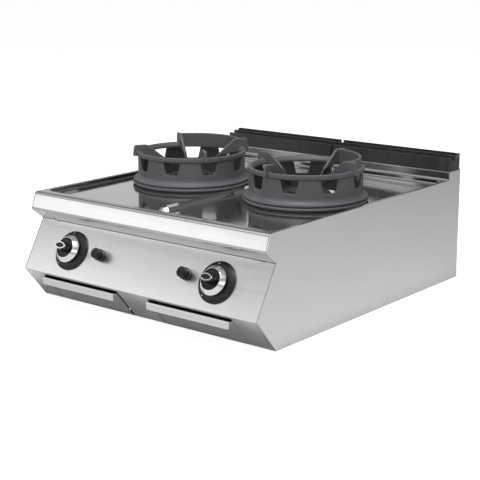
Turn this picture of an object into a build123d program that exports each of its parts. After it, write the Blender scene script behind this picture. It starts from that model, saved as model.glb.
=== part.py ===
from build123d import *
from math import cos, hypot, radians, sin
import os

os.makedirs("parts", exist_ok=True)

# Counter-top gas range with two wok burners. Millimetres, X to the right, Y to the back, Z up.
# The origin is on the surface the range stands on, at the middle of its outline.

# ---------------------------------------------------------------- driving dimensions
WIDTH = 800.0             # outside, over both side panels
SHEET = 2.0               # stainless sheet of the casing
HALF = WIDTH / 2
INNER = HALF - SHEET      # half of the room between the side panels
GAP = 0.3                 # between pieces that part from each other

# outline seen from the side, as (y, z)
BASE_FRONT = (-386.5, 0.0)
NOSE = (-459.5, 87.0)
NOTCH = (-386.5, 214.0)
BULLNOSE_LOW = (-426.5, 245.0)
BULLNOSE_TOP = (-410.5, 290.0)
LAND_Z = 290.0            # flat rim of the hob
UPSTAND_Y = 407.5         # front face of the flue box
BOX_TOP_Z = 314.0
REAR_Y = 468.5
REAR_LIP = 2.5            # the lip behind the back panel
BULLNOSE_LOW_R = 9.0
BULLNOSE_TOP_R = 12.0
FOLD_R = 1.5              # outside radius of a plain fold

# hob
WELL_X = 388.0
WELL_FRONT_Y = -382.5
WELL_REAR_Y = 400.0
WELL_CORNER_R = 28.0
WELL_FLOOR_Z = 277.5
WELL_RIM_R = 1.5
WELL_FLOOR_R = 4.0
RIDGE_HALF = 20.0         # half width of the raised ridge between the burners
RIDGE_TOP_Z = 286.0
RIDGE_FRONT_Y = -324.5    # centre of its rounded front end

# burners
BURNER_X = 200.0
BURNER_Y = 0.5
HOB_HOLE_R = 112.0
COLLAR_TOP_Z = 285.0
SKIRT_WALL_R = 151.0
SKIRT_BORE_R = 144.0
SKIRT_TOP_Z = 357.8
NOTCH_COUNT = 9
NOTCH_FIRST_ANGLE = 10.0
FIN_WIDTH = 8.0
FIN_TOP_Z = 391.0
GUARD_TOP_Z = 396.5
RING_TURN = {"left": 55.0, "right": -3.5}   # how far each wok ring stands turned
MIX_Z = 220.0             # axis of the mixing tubes
RAIL_SEAT_Z = 196.0       # underside of the burner bodies

# controls, on the sloping panel
KNOB_X = 250.0
IGNITER_X = {"left": -142.0, "right": 153.5}
IGNITER_UP = 3.0          # up the slope from the panel's middle line
BEZEL_R = 53.5
COLLAR_R = 37.5
KNOB_R = 26.5
GRIP_LENGTH = 42.0
GRIP_WIDTH = 19.0
GRIP_TOP = 49.5
IGNITER_R = 15.3
BUTTON_R = 13.7
PUSH_BUTTON = 6.0
SPINDLE_R = 5.0

# drip drawers, in the raked apron under the nose
DRAWER_X = {"left": -196.0, "right": 182.0}
OPENING_X = {"left": (-331.0, -58.0), "right": (46.0, 316.5)}
DRAWER_HALF = 133.0
TRAY_HALF = 128.0
TRAY_FLOOR_Z = 22.3
TRAY_TOP_Z = 64.0
TRAY_REAR_Y = 100.0
TRAY_SHEET = 1.5
LIP_TOP_Z = 73.5
LIP_LOW_Z = 54.5
RAIL_TOP_Z = 20.0

# gas
MANIFOLD_DEPTH = 64.0     # below the face of the control panel
MANIFOLD_R = 10.65
MANIFOLD_BORE_R = 8.0
INLET_X = 345.0
INLET_THREAD_R = 9.3      # core of a G 1/2 socket
INLET_THREAD_LENGTH = 18.0
INLET_R = 15.0

HANDS = (("left", -1), ("right", 1))

# ---------------------------------------------------------------- planes of the front
APRON_LENGTH = hypot(NOSE[0] - BASE_FRONT[0], NOSE[1] - BASE_FRONT[1])
PANEL = Plane(
    origin=(0, (NOTCH[0] + NOSE[0]) / 2, (NOTCH[1] + NOSE[1]) / 2),
    x_dir=(1, 0, 0),
    z_dir=(0, NOSE[1] - NOTCH[1], NOTCH[0] - NOSE[0]),
)
APRON = Plane(
    origin=(0, (NOSE[0] + BASE_FRONT[0]) / 2, (NOSE[1] + BASE_FRONT[1]) / 2),
    x_dir=(1, 0, 0),
    z_dir=(0, BASE_FRONT[1] - NOSE[1], NOSE[0] - BASE_FRONT[0]),
)
UNDER_NOSE = Plane(
    origin=(0, NOTCH[0], NOTCH[1]),
    x_dir=(1, 0, 0),
    z_dir=(0, NOTCH[1] - BULLNOSE_LOW[1], BULLNOSE_LOW[0] - NOTCH[0]),
)


def panel_at(x, lift=0.0, up=0.0):
    """Plane parallel to the control panel, over a point beside and up from its middle."""
    return Plane(PANEL.location * Location((x, up, lift)))


def apron_y(z):
    """Y of the apron's face at a height."""
    return BASE_FRONT[0] + (NOSE[0] - BASE_FRONT[0]) * z / NOSE[1]


def burner_section(hand_side, angle=0.0):
    """Upright plane through a burner's axis, with its x direction at an angle."""
    return Plane(
        origin=(hand_side * BURNER_X, BURNER_Y, 0),
        x_dir=(cos(radians(angle)), sin(radians(angle)), 0),
        z_dir=(sin(radians(angle)), -cos(radians(angle)), 0),
    )


def burner_axis(hand_side):
    """Upright axis of a burner."""
    return Axis((hand_side * BURNER_X, BURNER_Y, 0), (0, 0, 1))


def fold_section(points, radii, side, x):
    """Section at x through a sheet folded along an outline of (y, z) points."""
    with BuildSketch(Plane.YZ.offset(x)) as section:
        with BuildLine():
            FilletPolyline(*points, radius=radii)
            offset(amount=SHEET, side=side)
        make_face()
    return section.sketch


def lens(length, width):
    """Pointed oval, the outline of a knob's grip."""
    with BuildSketch() as outline:
        with BuildLine():
            ThreePointArc((-length / 2, 0), (0, width / 2), (length / 2, 0))
            ThreePointArc((length / 2, 0), (0, -width / 2), (-length / 2, 0))
        make_face()
    return outline.sketch


MANIFOLD_CENTRE = panel_at(0, -MANIFOLD_DEPTH).origin

# ---------------------------------------------------------------- casing
# Side panels: one sheet each with the whole outline, and a flange turned in along the
# bottom that takes the fixing screws.
BOTTOM_FLANGE = 25.0
FLANGE_FRONT_Y = -357.5
FLANGE_REAR_Y = REAR_Y - SHEET
FIXING_X = 384.0
FIXING_FRONT_Y = -290.0
FIXING_REAR_Y = 410.0
FIXING_R = 4.5

for hand, side in HANDS:
    with BuildPart() as side_panel:
        with BuildSketch(Plane.YZ.offset(side * HALF)):
            with BuildLine():
                FilletPolyline(
                    BASE_FRONT, NOSE, NOTCH, BULLNOSE_LOW, BULLNOSE_TOP,
                    (UPSTAND_Y, LAND_Z), (UPSTAND_Y, BOX_TOP_Z), (REAR_Y, BOX_TOP_Z), (REAR_Y, 0),
                    radius=[FOLD_R, FOLD_R, 0, BULLNOSE_LOW_R, BULLNOSE_TOP_R, FOLD_R, 0, 0, 0],
                    close=True,
                )
            make_face()
        extrude(amount=-side * SHEET)
        with BuildSketch():
            with Locations((side * (INNER - BOTTOM_FLANGE / 2), (FLANGE_FRONT_Y + FLANGE_REAR_Y) / 2)):
                Rectangle(BOTTOM_FLANGE, FLANGE_REAR_Y - FLANGE_FRONT_Y)
            with Locations((side * FIXING_X, FIXING_FRONT_Y), (side * FIXING_X, FIXING_REAR_Y)):
                Circle(FIXING_R, mode=Mode.SUBTRACT)
        extrude(amount=SHEET)
    side_panel.part.label = f"{hand}_side_panel"
    export_step(side_panel.part, f"parts/{side_panel.part.label}.step")

# Hob top: rolled front edge, flat rim, one pressed well with a ridge down the middle,
# two burner holes with raised collars, and the upstand that meets the flue box.
RIM_PLATE_FRONT_Y = -400.0
UPSTAND_COVE_R = 5.8
UPSTAND_TOP_Z = BOX_TOP_Z - SHEET
UNDER_EDGE = (-388.5, 215.55)
RIDGE_CREST_HALF = RIDGE_HALF - (RIDGE_TOP_Z - WELL_FLOOR_Z)
RIM_PLATE_REAR_Y = WELL_REAR_Y + WELL_RIM_R
WELL_WIDTH = 2 * WELL_X
WELL_DEPTH = WELL_REAR_Y - WELL_FRONT_Y
WELL_MID_Y = (WELL_REAR_Y + WELL_FRONT_Y) / 2

with BuildPart() as hob_top:
    extrude(
        fold_section(
            [(RIM_PLATE_FRONT_Y, LAND_Z), BULLNOSE_TOP, BULLNOSE_LOW, UNDER_EDGE],
            [BULLNOSE_TOP_R, BULLNOSE_LOW_R], Side.LEFT, -INNER,
        ),
        amount=2 * INNER,
    )
    with BuildSketch(Plane.XY.offset(LAND_Z - SHEET)):
        with Locations((0, (RIM_PLATE_FRONT_Y + RIM_PLATE_REAR_Y) / 2)):
            Rectangle(2 * INNER, RIM_PLATE_REAR_Y - RIM_PLATE_FRONT_Y)
    extrude(amount=SHEET)
    with BuildSketch(Plane.XY.offset(WELL_FLOOR_Z - SHEET)):
        with Locations((0, WELL_MID_Y)):
            RectangleRounded(WELL_WIDTH + 2 * SHEET, WELL_DEPTH + 2 * SHEET, WELL_CORNER_R + SHEET)
    extrude(amount=LAND_Z - WELL_FLOOR_Z + SHEET)
    with BuildSketch(Plane.XY.offset(WELL_FLOOR_Z)):
        with Locations((0, WELL_MID_Y)):
            RectangleRounded(WELL_WIDTH, WELL_DEPTH, WELL_CORNER_R)
    extrude(amount=LAND_Z - WELL_FLOOR_Z, mode=Mode.SUBTRACT)
    level_faces = hob_top.faces().filter_by(Plane.XY)
    well_floor = level_faces.filter_by_position(Axis.Z, WELL_FLOOR_Z, WELL_FLOOR_Z)
    fillet(well_floor.edges(), radius=WELL_FLOOR_R)
    level_faces = hob_top.faces().filter_by(Plane.XY)
    rim = level_faces.filter_by_position(Axis.Z, LAND_Z, LAND_Z).sort_by(SortBy.AREA)[-1]
    fillet(rim.inner_wires()[0].edges(), radius=WELL_RIM_R - 0.1)
    # ridge, folded up out of the floor, with a rounded front end
    with BuildSketch(Plane.XZ.offset(-RIDGE_FRONT_Y)):
        with BuildLine():
            Polyline(
                (-RIDGE_HALF, WELL_FLOOR_Z), (-RIDGE_CREST_HALF, RIDGE_TOP_Z),
                (RIDGE_CREST_HALF, RIDGE_TOP_Z), (RIDGE_HALF, WELL_FLOOR_Z), close=True,
            )
        make_face()
    extrude(amount=-(WELL_REAR_Y + SHEET / 2 - RIDGE_FRONT_Y))
    with Locations((0, RIDGE_FRONT_Y, WELL_FLOOR_Z)):
        Cone(
            RIDGE_HALF, RIDGE_CREST_HALF, RIDGE_TOP_Z - WELL_FLOOR_Z,
            align=(Align.CENTER, Align.CENTER, Align.MIN),
        )
    with BuildSketch(Plane.XZ.offset(-RIDGE_FRONT_Y)):
        with BuildLine():
            Polyline(
                (-RIDGE_HALF + SHEET, WELL_FLOOR_Z - SHEET),
                (-RIDGE_CREST_HALF + SHEET, RIDGE_TOP_Z - SHEET),
                (RIDGE_CREST_HALF - SHEET, RIDGE_TOP_Z - SHEET),
                (RIDGE_HALF - SHEET, WELL_FLOOR_Z - SHEET),
                close=True,
            )
        make_face()
    extrude(amount=-(WELL_REAR_Y - RIDGE_FRONT_Y), mode=Mode.SUBTRACT)
    # burner holes and their collars
    with BuildSketch(Plane.XY.offset(WELL_FLOOR_Z - SHEET)):
        with Locations((-BURNER_X, BURNER_Y), (BURNER_X, BURNER_Y)):
            Circle(HOB_HOLE_R + SHEET)
    extrude(amount=COLLAR_TOP_Z - WELL_FLOOR_Z + SHEET)
    with BuildSketch(Plane.XY.offset(WELL_FLOOR_Z - SHEET)):
        with Locations((-BURNER_X, BURNER_Y), (BURNER_X, BURNER_Y)):
            Circle(HOB_HOLE_R)
    extrude(amount=COLLAR_TOP_Z - WELL_FLOOR_Z + SHEET, mode=Mode.SUBTRACT)
    # upstand, rising from the rim in a cove
    extrude(
        fold_section(
            [(RIM_PLATE_REAR_Y, LAND_Z), (UPSTAND_Y, LAND_Z), (UPSTAND_Y, UPSTAND_TOP_Z)],
            [UPSTAND_COVE_R], Side.RIGHT, -INNER,
        ),
        amount=2 * INNER,
    )
hob_top.part.label = "hob_top"
export_step(hob_top.part, "parts/hob_top.step")

# Control panel and apron: two sheets that meet at the nose on a mitred seam.
TOP_FLANGE = 20.0
LOW_FLANGE = 27.0
FRONT_FOLD = [
    (NOTCH[0] + TOP_FLANGE, NOTCH[1]), NOTCH, NOSE, BASE_FRONT, (BASE_FRONT[0] + LOW_FLANGE, 0.0),
]
TOWARDS_NOTCH = Vector(0, NOTCH[0] - NOSE[0], NOTCH[1] - NOSE[1]).normalized()
TOWARDS_BASE = Vector(0, BASE_FRONT[0] - NOSE[0], BASE_FRONT[1] - NOSE[1]).normalized()
NOSE_SEAM = Plane(origin=(0, *NOSE), x_dir=(1, 0, 0), z_dir=TOWARDS_NOTCH - TOWARDS_BASE)
SPINDLE_HOLE_R = 12.0
STEM_R = 10.0

with BuildPart() as control_panel:
    extrude(fold_section(FRONT_FOLD, FOLD_R, Side.LEFT, -INNER), amount=2 * INNER)
    split(bisect_by=NOSE_SEAM, keep=Keep.TOP)
    with BuildSketch(PANEL):
        with Locations((-KNOB_X, 0), (KNOB_X, 0)):
            Circle(SPINDLE_HOLE_R)
        with Locations(*[(x, IGNITER_UP) for x in IGNITER_X.values()]):
            Circle(STEM_R)
    extrude(amount=-2 * SHEET, mode=Mode.SUBTRACT)
control_panel.part.label = "control_panel"
export_step(control_panel.part, "parts/control_panel.step")

OPENING_MARGIN = 9.5      # from the nose down to the openings
OPENING_HEIGHT = 100.0
OPENING_TOP = APRON_LENGTH / 2 - OPENING_MARGIN
OPENING_LOW = OPENING_TOP - OPENING_HEIGHT

with BuildPart() as apron_panel:
    extrude(fold_section(FRONT_FOLD, FOLD_R, Side.LEFT, -INNER), amount=2 * INNER)
    split(bisect_by=NOSE_SEAM, keep=Keep.BOTTOM)
    with BuildSketch(APRON.offset(SHEET)):
        for x_low, x_high in OPENING_X.values():
            with Locations(((x_low + x_high) / 2, (OPENING_TOP + OPENING_LOW) / 2)):
                Rectangle(x_high - x_low, OPENING_HEIGHT)
    extrude(amount=-3 * SHEET, mode=Mode.SUBTRACT)
apron_panel.part.label = "apron_panel"
export_step(apron_panel.part, "parts/apron_panel.step")

# Back panel: sheet with two rows of air slots, a bottom flange and a stiff rear lip.
BACK_FLANGE = 23.0
BACK_FLANGE_HALF = INNER - BOTTOM_FLANGE - 1.0
LIP_BOTTOM_Z = 298.0
LIP_HEIGHT = 18.0
SLOT_COLUMNS = 9
SLOT_PITCH = 70.0
SLOT_ROWS_Z = 45.0
SLOT_ROW_PITCH = 24.0
SLOT_LENGTH = 52.0
SLOT_WIDTH = 8.0

with BuildPart() as back_panel:
    with BuildSketch(Plane.XZ.offset(-REAR_Y)):
        with Locations((0, SHEET)):
            Rectangle(2 * INNER, UPSTAND_TOP_Z - SHEET, align=(Align.CENTER, Align.MIN))
        with Locations((0, SLOT_ROWS_Z)):
            with GridLocations(SLOT_PITCH, SLOT_ROW_PITCH, SLOT_COLUMNS, 2):
                SlotOverall(SLOT_LENGTH, SLOT_WIDTH, mode=Mode.SUBTRACT)
        with Locations((INLET_X, MANIFOLD_CENTRE.Z)):
            Circle(INLET_R, mode=Mode.SUBTRACT)
    extrude(amount=SHEET)
    with BuildSketch():
        with Locations((0, REAR_Y - BACK_FLANGE / 2)):
            Rectangle(2 * BACK_FLANGE_HALF, BACK_FLANGE)
    extrude(amount=SHEET)
    with BuildSketch(Plane.XZ.offset(-REAR_Y)):
        with Locations((0, LIP_BOTTOM_Z)):
            Rectangle(2 * INNER, LIP_HEIGHT, align=(Align.CENTER, Align.MIN))
    extrude(amount=-REAR_LIP)
back_panel.part.label = "back_panel"
export_step(back_panel.part, "parts/back_panel.step")

# Flue duct: a box open at the bottom, under a top plate with one long mouth a side.
DUCT_HALF = 390.0
DUCT_FRONT_Y = 410.5
DUCT_LOW_Z = 150.0
FLUE_MOUTH = (340.0, 34.0)
FLUE_MOUTH_X = 196.0
FLUE_MOUTH_Y = 438.5
DUCT_DEPTH = REAR_Y - SHEET - DUCT_FRONT_Y

with BuildPart() as flue_duct:
    with BuildSketch(Plane.XY.offset(DUCT_LOW_Z)):
        with Locations((0, DUCT_FRONT_Y + DUCT_DEPTH / 2)):
            Rectangle(2 * DUCT_HALF, DUCT_DEPTH)
            Rectangle(2 * (DUCT_HALF - SHEET), DUCT_DEPTH - 2 * SHEET, mode=Mode.SUBTRACT)
    extrude(amount=UPSTAND_TOP_Z - DUCT_LOW_Z)
    with BuildSketch(Plane.XY.offset(UPSTAND_TOP_Z)):
        with Locations((0, (UPSTAND_Y + REAR_Y) / 2)):
            Rectangle(2 * INNER, REAR_Y - UPSTAND_Y)
        with Locations((-FLUE_MOUTH_X, FLUE_MOUTH_Y), (FLUE_MOUTH_X, FLUE_MOUTH_Y)):
            Rectangle(*FLUE_MOUTH, mode=Mode.SUBTRACT)
    extrude(amount=SHEET)
flue_duct.part.label = "flue_duct"
export_step(flue_duct.part, "parts/flue_duct.step")

# Cross rails: three box sections between the side panels. Two lie on the bottom flanges
# and carry the drawer runners, the third carries the burner bodies.
RAIL_WIDTH = 40.0
RAIL_HEIGHT = 18.0
BURNER_RAIL_HEIGHT = 20.0
FRONT_RAIL_Y = -315.0
REAR_RAIL_Y = 65.0
RAIL_CENTRES = (          # y, z and height of each section
    (FRONT_RAIL_Y, RAIL_TOP_Z - RAIL_HEIGHT / 2, RAIL_HEIGHT),
    (REAR_RAIL_Y, RAIL_TOP_Z - RAIL_HEIGHT / 2, RAIL_HEIGHT),
    (BURNER_Y, RAIL_SEAT_Z - BURNER_RAIL_HEIGHT / 2, BURNER_RAIL_HEIGHT),
)

with BuildPart() as cross_rails:
    with BuildSketch(Plane.YZ.offset(-INNER)):
        for rail_y, rail_z, height in RAIL_CENTRES:
            with Locations((rail_y, rail_z)):
                Rectangle(RAIL_WIDTH, height)
                Rectangle(RAIL_WIDTH - 2 * SHEET, height - 2 * SHEET, mode=Mode.SUBTRACT)
    extrude(amount=2 * INNER)
cross_rails.part.label = "cross_rails"
export_step(cross_rails.part, "parts/cross_rails.step")

# ---------------------------------------------------------------- drip drawers
# Runners: four angle strips on the cross rails, a pair for each tray.
RUNNER_FRONT_Y = -374.5
RUNNER_FOOT = 12.0
RUNNER_TOP_Z = 46.0
RUNNER_PLAY = 0.5

with BuildPart() as drawer_runners:
    for hand, side in HANDS:
        for edge in (-1, 1):
            web = DRAWER_X[hand] + edge * (TRAY_HALF + RUNNER_PLAY)
            with BuildSketch(Plane.XZ.offset(-RUNNER_FRONT_Y)):
                with BuildLine():
                    Polyline(
                        (web - edge * RUNNER_FOOT, RAIL_TOP_Z), (web + edge * SHEET, RAIL_TOP_Z),
                        (web + edge * SHEET, RUNNER_TOP_Z), (web, RUNNER_TOP_Z),
                        (web, RAIL_TOP_Z + SHEET), (web - edge * RUNNER_FOOT, RAIL_TOP_Z + SHEET),
                        close=True,
                    )
                make_face()
            extrude(amount=-(TRAY_REAR_Y - RUNNER_FRONT_Y))
drawer_runners.part.label = "drawer_runners"
export_step(drawer_runners.part, "parts/drawer_runners.step")

# Drawers: a raked front whose top edge is folded into an upright finger lip, and a
# tray behind it with its front wall raked to match.
BEHIND_FRONT = SHEET * APRON_LENGTH / NOSE[1]   # sheet thickness measured along Y
FRONT_REACH = 108.0       # from the nose down the apron to the lower edge of a front
FRONT_LOW_Z = NOSE[1] * (1 - FRONT_REACH / APRON_LENGTH)
LIP_FOLD_R = 0.5          # inside radius of the lip's folds
LIP_CORNER_R = 5.0
FOLD_Z = LIP_TOP_Z - SHEET

for hand, side in HANDS:
    with BuildPart() as drip_tray:
        with BuildSketch(Plane.YZ.offset(DRAWER_X[hand] - TRAY_HALF)):
            with BuildLine():
                Polyline(
                    (apron_y(TRAY_FLOOR_Z) + BEHIND_FRONT, TRAY_FLOOR_Z),
                    (apron_y(TRAY_TOP_Z) + BEHIND_FRONT, TRAY_TOP_Z),
                    (TRAY_REAR_Y, TRAY_TOP_Z), (TRAY_REAR_Y, TRAY_FLOOR_Z), close=True,
                )
            make_face()
        extrude(amount=2 * TRAY_HALF)
        offset(amount=-TRAY_SHEET, openings=drip_tray.faces().sort_by(Axis.Z)[-1])
    drip_tray.part.label = f"drip_tray_{hand}"
    export_step(drip_tray.part, f"parts/{drip_tray.part.label}.step")

    with BuildPart() as drawer_front:
        extrude(
            fold_section(
                [
                    (apron_y(FRONT_LOW_Z), FRONT_LOW_Z), (apron_y(FOLD_Z), FOLD_Z),
                    (NOSE[0] + SHEET, FOLD_Z), (NOSE[0] + SHEET, LIP_LOW_Z),
                ],
                LIP_FOLD_R, Side.RIGHT, DRAWER_X[hand] - DRAWER_HALF,
            ),
            amount=2 * DRAWER_HALF,
        )
        lip_corners = drawer_front.edges().filter_by(Axis.Y).group_by(Axis.Z)[0]
        fillet(lip_corners, radius=LIP_CORNER_R)
    drawer_front.part.label = f"drawer_front_{hand}"
    export_step(drawer_front.part, f"parts/{drawer_front.part.label}.step")

# ---------------------------------------------------------------- cast-iron burner surround
# Skirt: a heavy ring that stands in the well, with a beaded foot and nine notches
# cut down from its top edge for the flames to breathe.
FOOT_Z = WELL_FLOOR_Z + GAP
FOOT_R = 158.0            # what it stands on, set back under the bead
FOOT_TOP_Z = 281.5
NOTCH_LOW_Z = 322.0
NOTCH_TOP_HALF = 24.5
NOTCH_LOW_HALF = 16.5
NOTCH_CORNER_R = 5.0
BEAD_R = 167.0
BEAD = 1.8                # swell of the bead's rounded edge
BEAD_LOW_Z = 284.0
BEAD_TOP_Z = 288.4
GROOVE_R = 161.5          # groove over the bead
GROOVE_LOW_Z = 289.8
GROOVE_TOP_Z = 291.8
BELT_R = 164.5            # swelling belt that sweeps up into the wall
BELT_LOW_Z = 292.8
BELT_TOP_Z = 294.8
WALL_LOW_Z = 308.0
SWEEP_R = 15.5

for hand, side in HANDS:
    with BuildPart() as wok_skirt:
        with BuildSketch(burner_section(side)):
            with BuildLine():
                Polyline(
                    (SKIRT_WALL_R, WALL_LOW_Z), (SKIRT_WALL_R, SKIRT_TOP_Z), (SKIRT_BORE_R, SKIRT_TOP_Z),
                    (SKIRT_BORE_R, FOOT_Z), (FOOT_R, FOOT_Z), (FOOT_R, FOOT_TOP_Z),
                    (BEAD_R - BEAD, BEAD_LOW_Z),
                )
                ThreePointArc(
                    (BEAD_R - BEAD, BEAD_LOW_Z), (BEAD_R, (BEAD_LOW_Z + BEAD_TOP_Z) / 2),
                    (BEAD_R - BEAD, BEAD_TOP_Z),
                )
                Polyline(
                    (BEAD_R - BEAD, BEAD_TOP_Z), (GROOVE_R, GROOVE_LOW_Z), (GROOVE_R, GROOVE_TOP_Z),
                    (BELT_R, BELT_LOW_Z), (BELT_R, BELT_TOP_Z),
                )
                RadiusArc((BELT_R, BELT_TOP_Z), (SKIRT_WALL_R, WALL_LOW_Z), SWEEP_R)
            make_face()
        revolve(axis=burner_axis(side))
        for index in range(NOTCH_COUNT):
            angle = NOTCH_FIRST_ANGLE + index * 360 / NOTCH_COUNT
            with BuildSketch(burner_section(side, angle - 90)):
                with BuildLine():
                    FilletPolyline(
                        (-NOTCH_LOW_HALF, NOTCH_LOW_Z), (NOTCH_LOW_HALF, NOTCH_LOW_Z),
                        (NOTCH_TOP_HALF, SKIRT_TOP_Z), (-NOTCH_TOP_HALF, SKIRT_TOP_Z),
                        radius=[NOTCH_CORNER_R, NOTCH_CORNER_R, 0, 0], close=True,
                    )
                make_face()
            extrude(amount=-BEAD_R, mode=Mode.SUBTRACT)
    wok_skirt.part.label = f"wok_skirt_{hand}"
    export_step(wok_skirt.part, f"parts/{wok_skirt.part.label}.step")

# Wok ring: a loose casting on the skirt. A rim band with a locating lip below, four
# fins that carry the wok, and a quarter of the wall raised as a guard between two fins,
# which are a little taller than the other two.
BAND_LOW_Z = SKIRT_TOP_Z + GAP
BAND_TOP_Z = 370.0
BAND_R = 153.5
BAND_BORE_R = 139.0
BAND_CHAMFER = 6.0
GUARD_R = 145.0
GUARD_WALL = 6.0
LIP_LOW_Z = 355.0
LIP_R = SKIRT_BORE_R - 0.4
GUARD_OVERLAP = 11.0      # length of the guard that is within the band
FIN_TAB_R = 168.0
FIN_TAB_TOP_R = 164.0


def fin_outline(top_z):
    """(radius, z, corner radius) round a fin, from its outer tab inwards and back."""
    return (
        (FIN_TAB_R, BAND_LOW_Z + 2.0, 3.0), (FIN_TAB_TOP_R, top_z, 6.0), (127.0, top_z, 20.0),
        (72.0, 348.0, 8.0), (60.0, 331.0, 3.0), (63.7, 322.5, 3.0), (96.5, 342.0, 8.0),
        (106.0, 354.0, 8.0), (142.0, BAND_LOW_Z + 1.0, 0.0),
    )


for hand, side in HANDS:
    turn = RING_TURN[hand]
    with BuildPart() as wok_ring:
        with BuildSketch(burner_section(side)):
            with BuildLine():
                Polyline(
                    (BAND_BORE_R, LIP_LOW_Z), (LIP_R, LIP_LOW_Z), (LIP_R, BAND_LOW_Z), (BAND_R, BAND_LOW_Z),
                    (BAND_R, BAND_TOP_Z), (BAND_BORE_R + BAND_CHAMFER, BAND_TOP_Z),
                    (BAND_BORE_R, BAND_TOP_Z - 1.5 * BAND_CHAMFER), close=True,
                )
            make_face()
        revolve(axis=burner_axis(side))
        with BuildSketch(burner_section(side, turn)):
            with BuildLine():
                FilletPolyline(
                    (GUARD_R - GUARD_WALL, BAND_TOP_Z - GUARD_OVERLAP), (GUARD_R, BAND_TOP_Z - GUARD_OVERLAP),
                    (GUARD_R, GUARD_TOP_Z), (GUARD_R - GUARD_WALL, GUARD_TOP_Z),
                    radius=[0, 0, 2, 2], close=True,
                )
            make_face()
        revolve(axis=burner_axis(side), revolution_arc=90)
        for quarter, top_z in enumerate((GUARD_TOP_Z, GUARD_TOP_Z, FIN_TOP_Z, FIN_TOP_Z)):
            outline = fin_outline(top_z)
            with BuildSketch(burner_section(side, turn + 90 * quarter).offset(-FIN_WIDTH / 2)):
                with BuildLine():
                    FilletPolyline(
                        *[(r, z) for r, z, corner in outline],
                        radius=[corner for r, z, corner in outline], close=True,
                    )
                make_face()
            extrude(amount=FIN_WIDTH)
    wok_ring.part.label = f"wok_ring_{hand}"
    export_step(wok_ring.part, f"parts/{wok_ring.part.label}.step")

# ---------------------------------------------------------------- burners
# Spill bowl: a shallow pressed dish on the hob's collar, round the burner, with three
# small holes for the pilot, the thermocouple and the ignition electrode.
BOWL_SHEET = 1.5
BOWL_RIM_R = 119.0
BOWL_HOLE_R = 73.0
SERVICE_R = 92.0          # circle on which pilot, thermocouple and electrode stand
PILOT_ANGLE = -90.0
PROBE_ANGLE = -66.0
SPARK_ANGLE = -114.0
PILOT_R = 5.0
PROBE_R = 3.0
SPARK_R = 4.0
BOWL_FLAT_Z = 262.0
BOWL_SHOULDER_R = 108.0
BOWL_FLAT_R = 82.0


def service_point(hand_side, angle):
    """Place beside the burner, at an angle round its axis."""
    return (
        hand_side * BURNER_X + SERVICE_R * cos(radians(angle)),
        BURNER_Y + SERVICE_R * sin(radians(angle)),
    )


for hand, side in HANDS:
    with BuildPart() as spill_bowl:
        with BuildSketch(burner_section(side)):
            with BuildLine():
                Polyline(
                    (BOWL_RIM_R, COLLAR_TOP_Z), (BOWL_RIM_R, COLLAR_TOP_Z + BOWL_SHEET),
                    (BOWL_SHOULDER_R, COLLAR_TOP_Z + BOWL_SHEET), (BOWL_FLAT_R, BOWL_FLAT_Z),
                    (BOWL_HOLE_R, BOWL_FLAT_Z), (BOWL_HOLE_R, BOWL_FLAT_Z - BOWL_SHEET),
                    (BOWL_FLAT_R + 1, BOWL_FLAT_Z - BOWL_SHEET), (BOWL_SHOULDER_R + 1, COLLAR_TOP_Z),
                    close=True,
                )
            make_face()
        revolve(axis=burner_axis(side))
        for angle, hole_r in ((PILOT_ANGLE, PILOT_R), (PROBE_ANGLE, PROBE_R), (SPARK_ANGLE, SPARK_R)):
            with BuildSketch(Plane.XY.offset(COLLAR_TOP_Z + BOWL_SHEET)):
                with Locations(service_point(side, angle)):
                    Circle(hole_r)
            extrude(amount=BOWL_FLAT_Z - COLLAR_TOP_Z - 3 * BOWL_SHEET, mode=Mode.SUBTRACT)
    spill_bowl.part.label = f"spill_bowl_{hand}"
    export_step(spill_bowl.part, f"parts/{spill_bowl.part.label}.step")

# Burner body: a cast-iron funnel with the mixing tube's socket at the front.
CHAMBER_R = 72.0
SEAT_Z = 283.0
SOCKET_FACE_Y = BURNER_Y - 80.0
TUBE_R = 19.0
TUBE_BORE_R = 14.0
STALK_R = 30.0            # foot that stands on the rail
STALK_TOP_Z = 240.0
BOWL_LOW_Z = 262.0        # where the funnel meets the chamber wall
BODY_WALL = 8.0

for hand, side in HANDS:
    with BuildPart() as burner_body:
        with BuildSketch(burner_section(side)):
            with BuildLine():
                Polyline(
                    (0, RAIL_SEAT_Z), (STALK_R, RAIL_SEAT_Z), (STALK_R, STALK_TOP_Z),
                    (CHAMBER_R, BOWL_LOW_Z), (CHAMBER_R, SEAT_Z), (0, SEAT_Z), close=True,
                )
            make_face()
        revolve(axis=burner_axis(side))
        with BuildSketch(Plane.XZ.offset(-SOCKET_FACE_Y)):
            with Locations((side * BURNER_X, MIX_Z)):
                Circle(TUBE_R)
        extrude(amount=-(BURNER_Y - SOCKET_FACE_Y))
        with BuildSketch(burner_section(side)):
            with BuildLine():
                Polyline(
                    (0, RAIL_SEAT_Z + BODY_WALL), (STALK_R - BODY_WALL, RAIL_SEAT_Z + BODY_WALL),
                    (STALK_R - BODY_WALL, STALK_TOP_Z + BODY_WALL / 2),
                    (CHAMBER_R - BODY_WALL, BOWL_LOW_Z + BODY_WALL / 2),
                    (CHAMBER_R - BODY_WALL, SEAT_Z), (0, SEAT_Z), close=True,
                )
            make_face()
        revolve(axis=burner_axis(side), mode=Mode.SUBTRACT)
        with BuildSketch(Plane.XZ.offset(-SOCKET_FACE_Y)):
            with Locations((side * BURNER_X, MIX_Z)):
                Circle(TUBE_BORE_R)
        extrude(amount=-(BURNER_Y - SOCKET_FACE_Y), mode=Mode.SUBTRACT)
    burner_body.part.label = f"burner_body_{hand}"
    export_step(burner_body.part, f"parts/{burner_body.part.label}.step")

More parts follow.
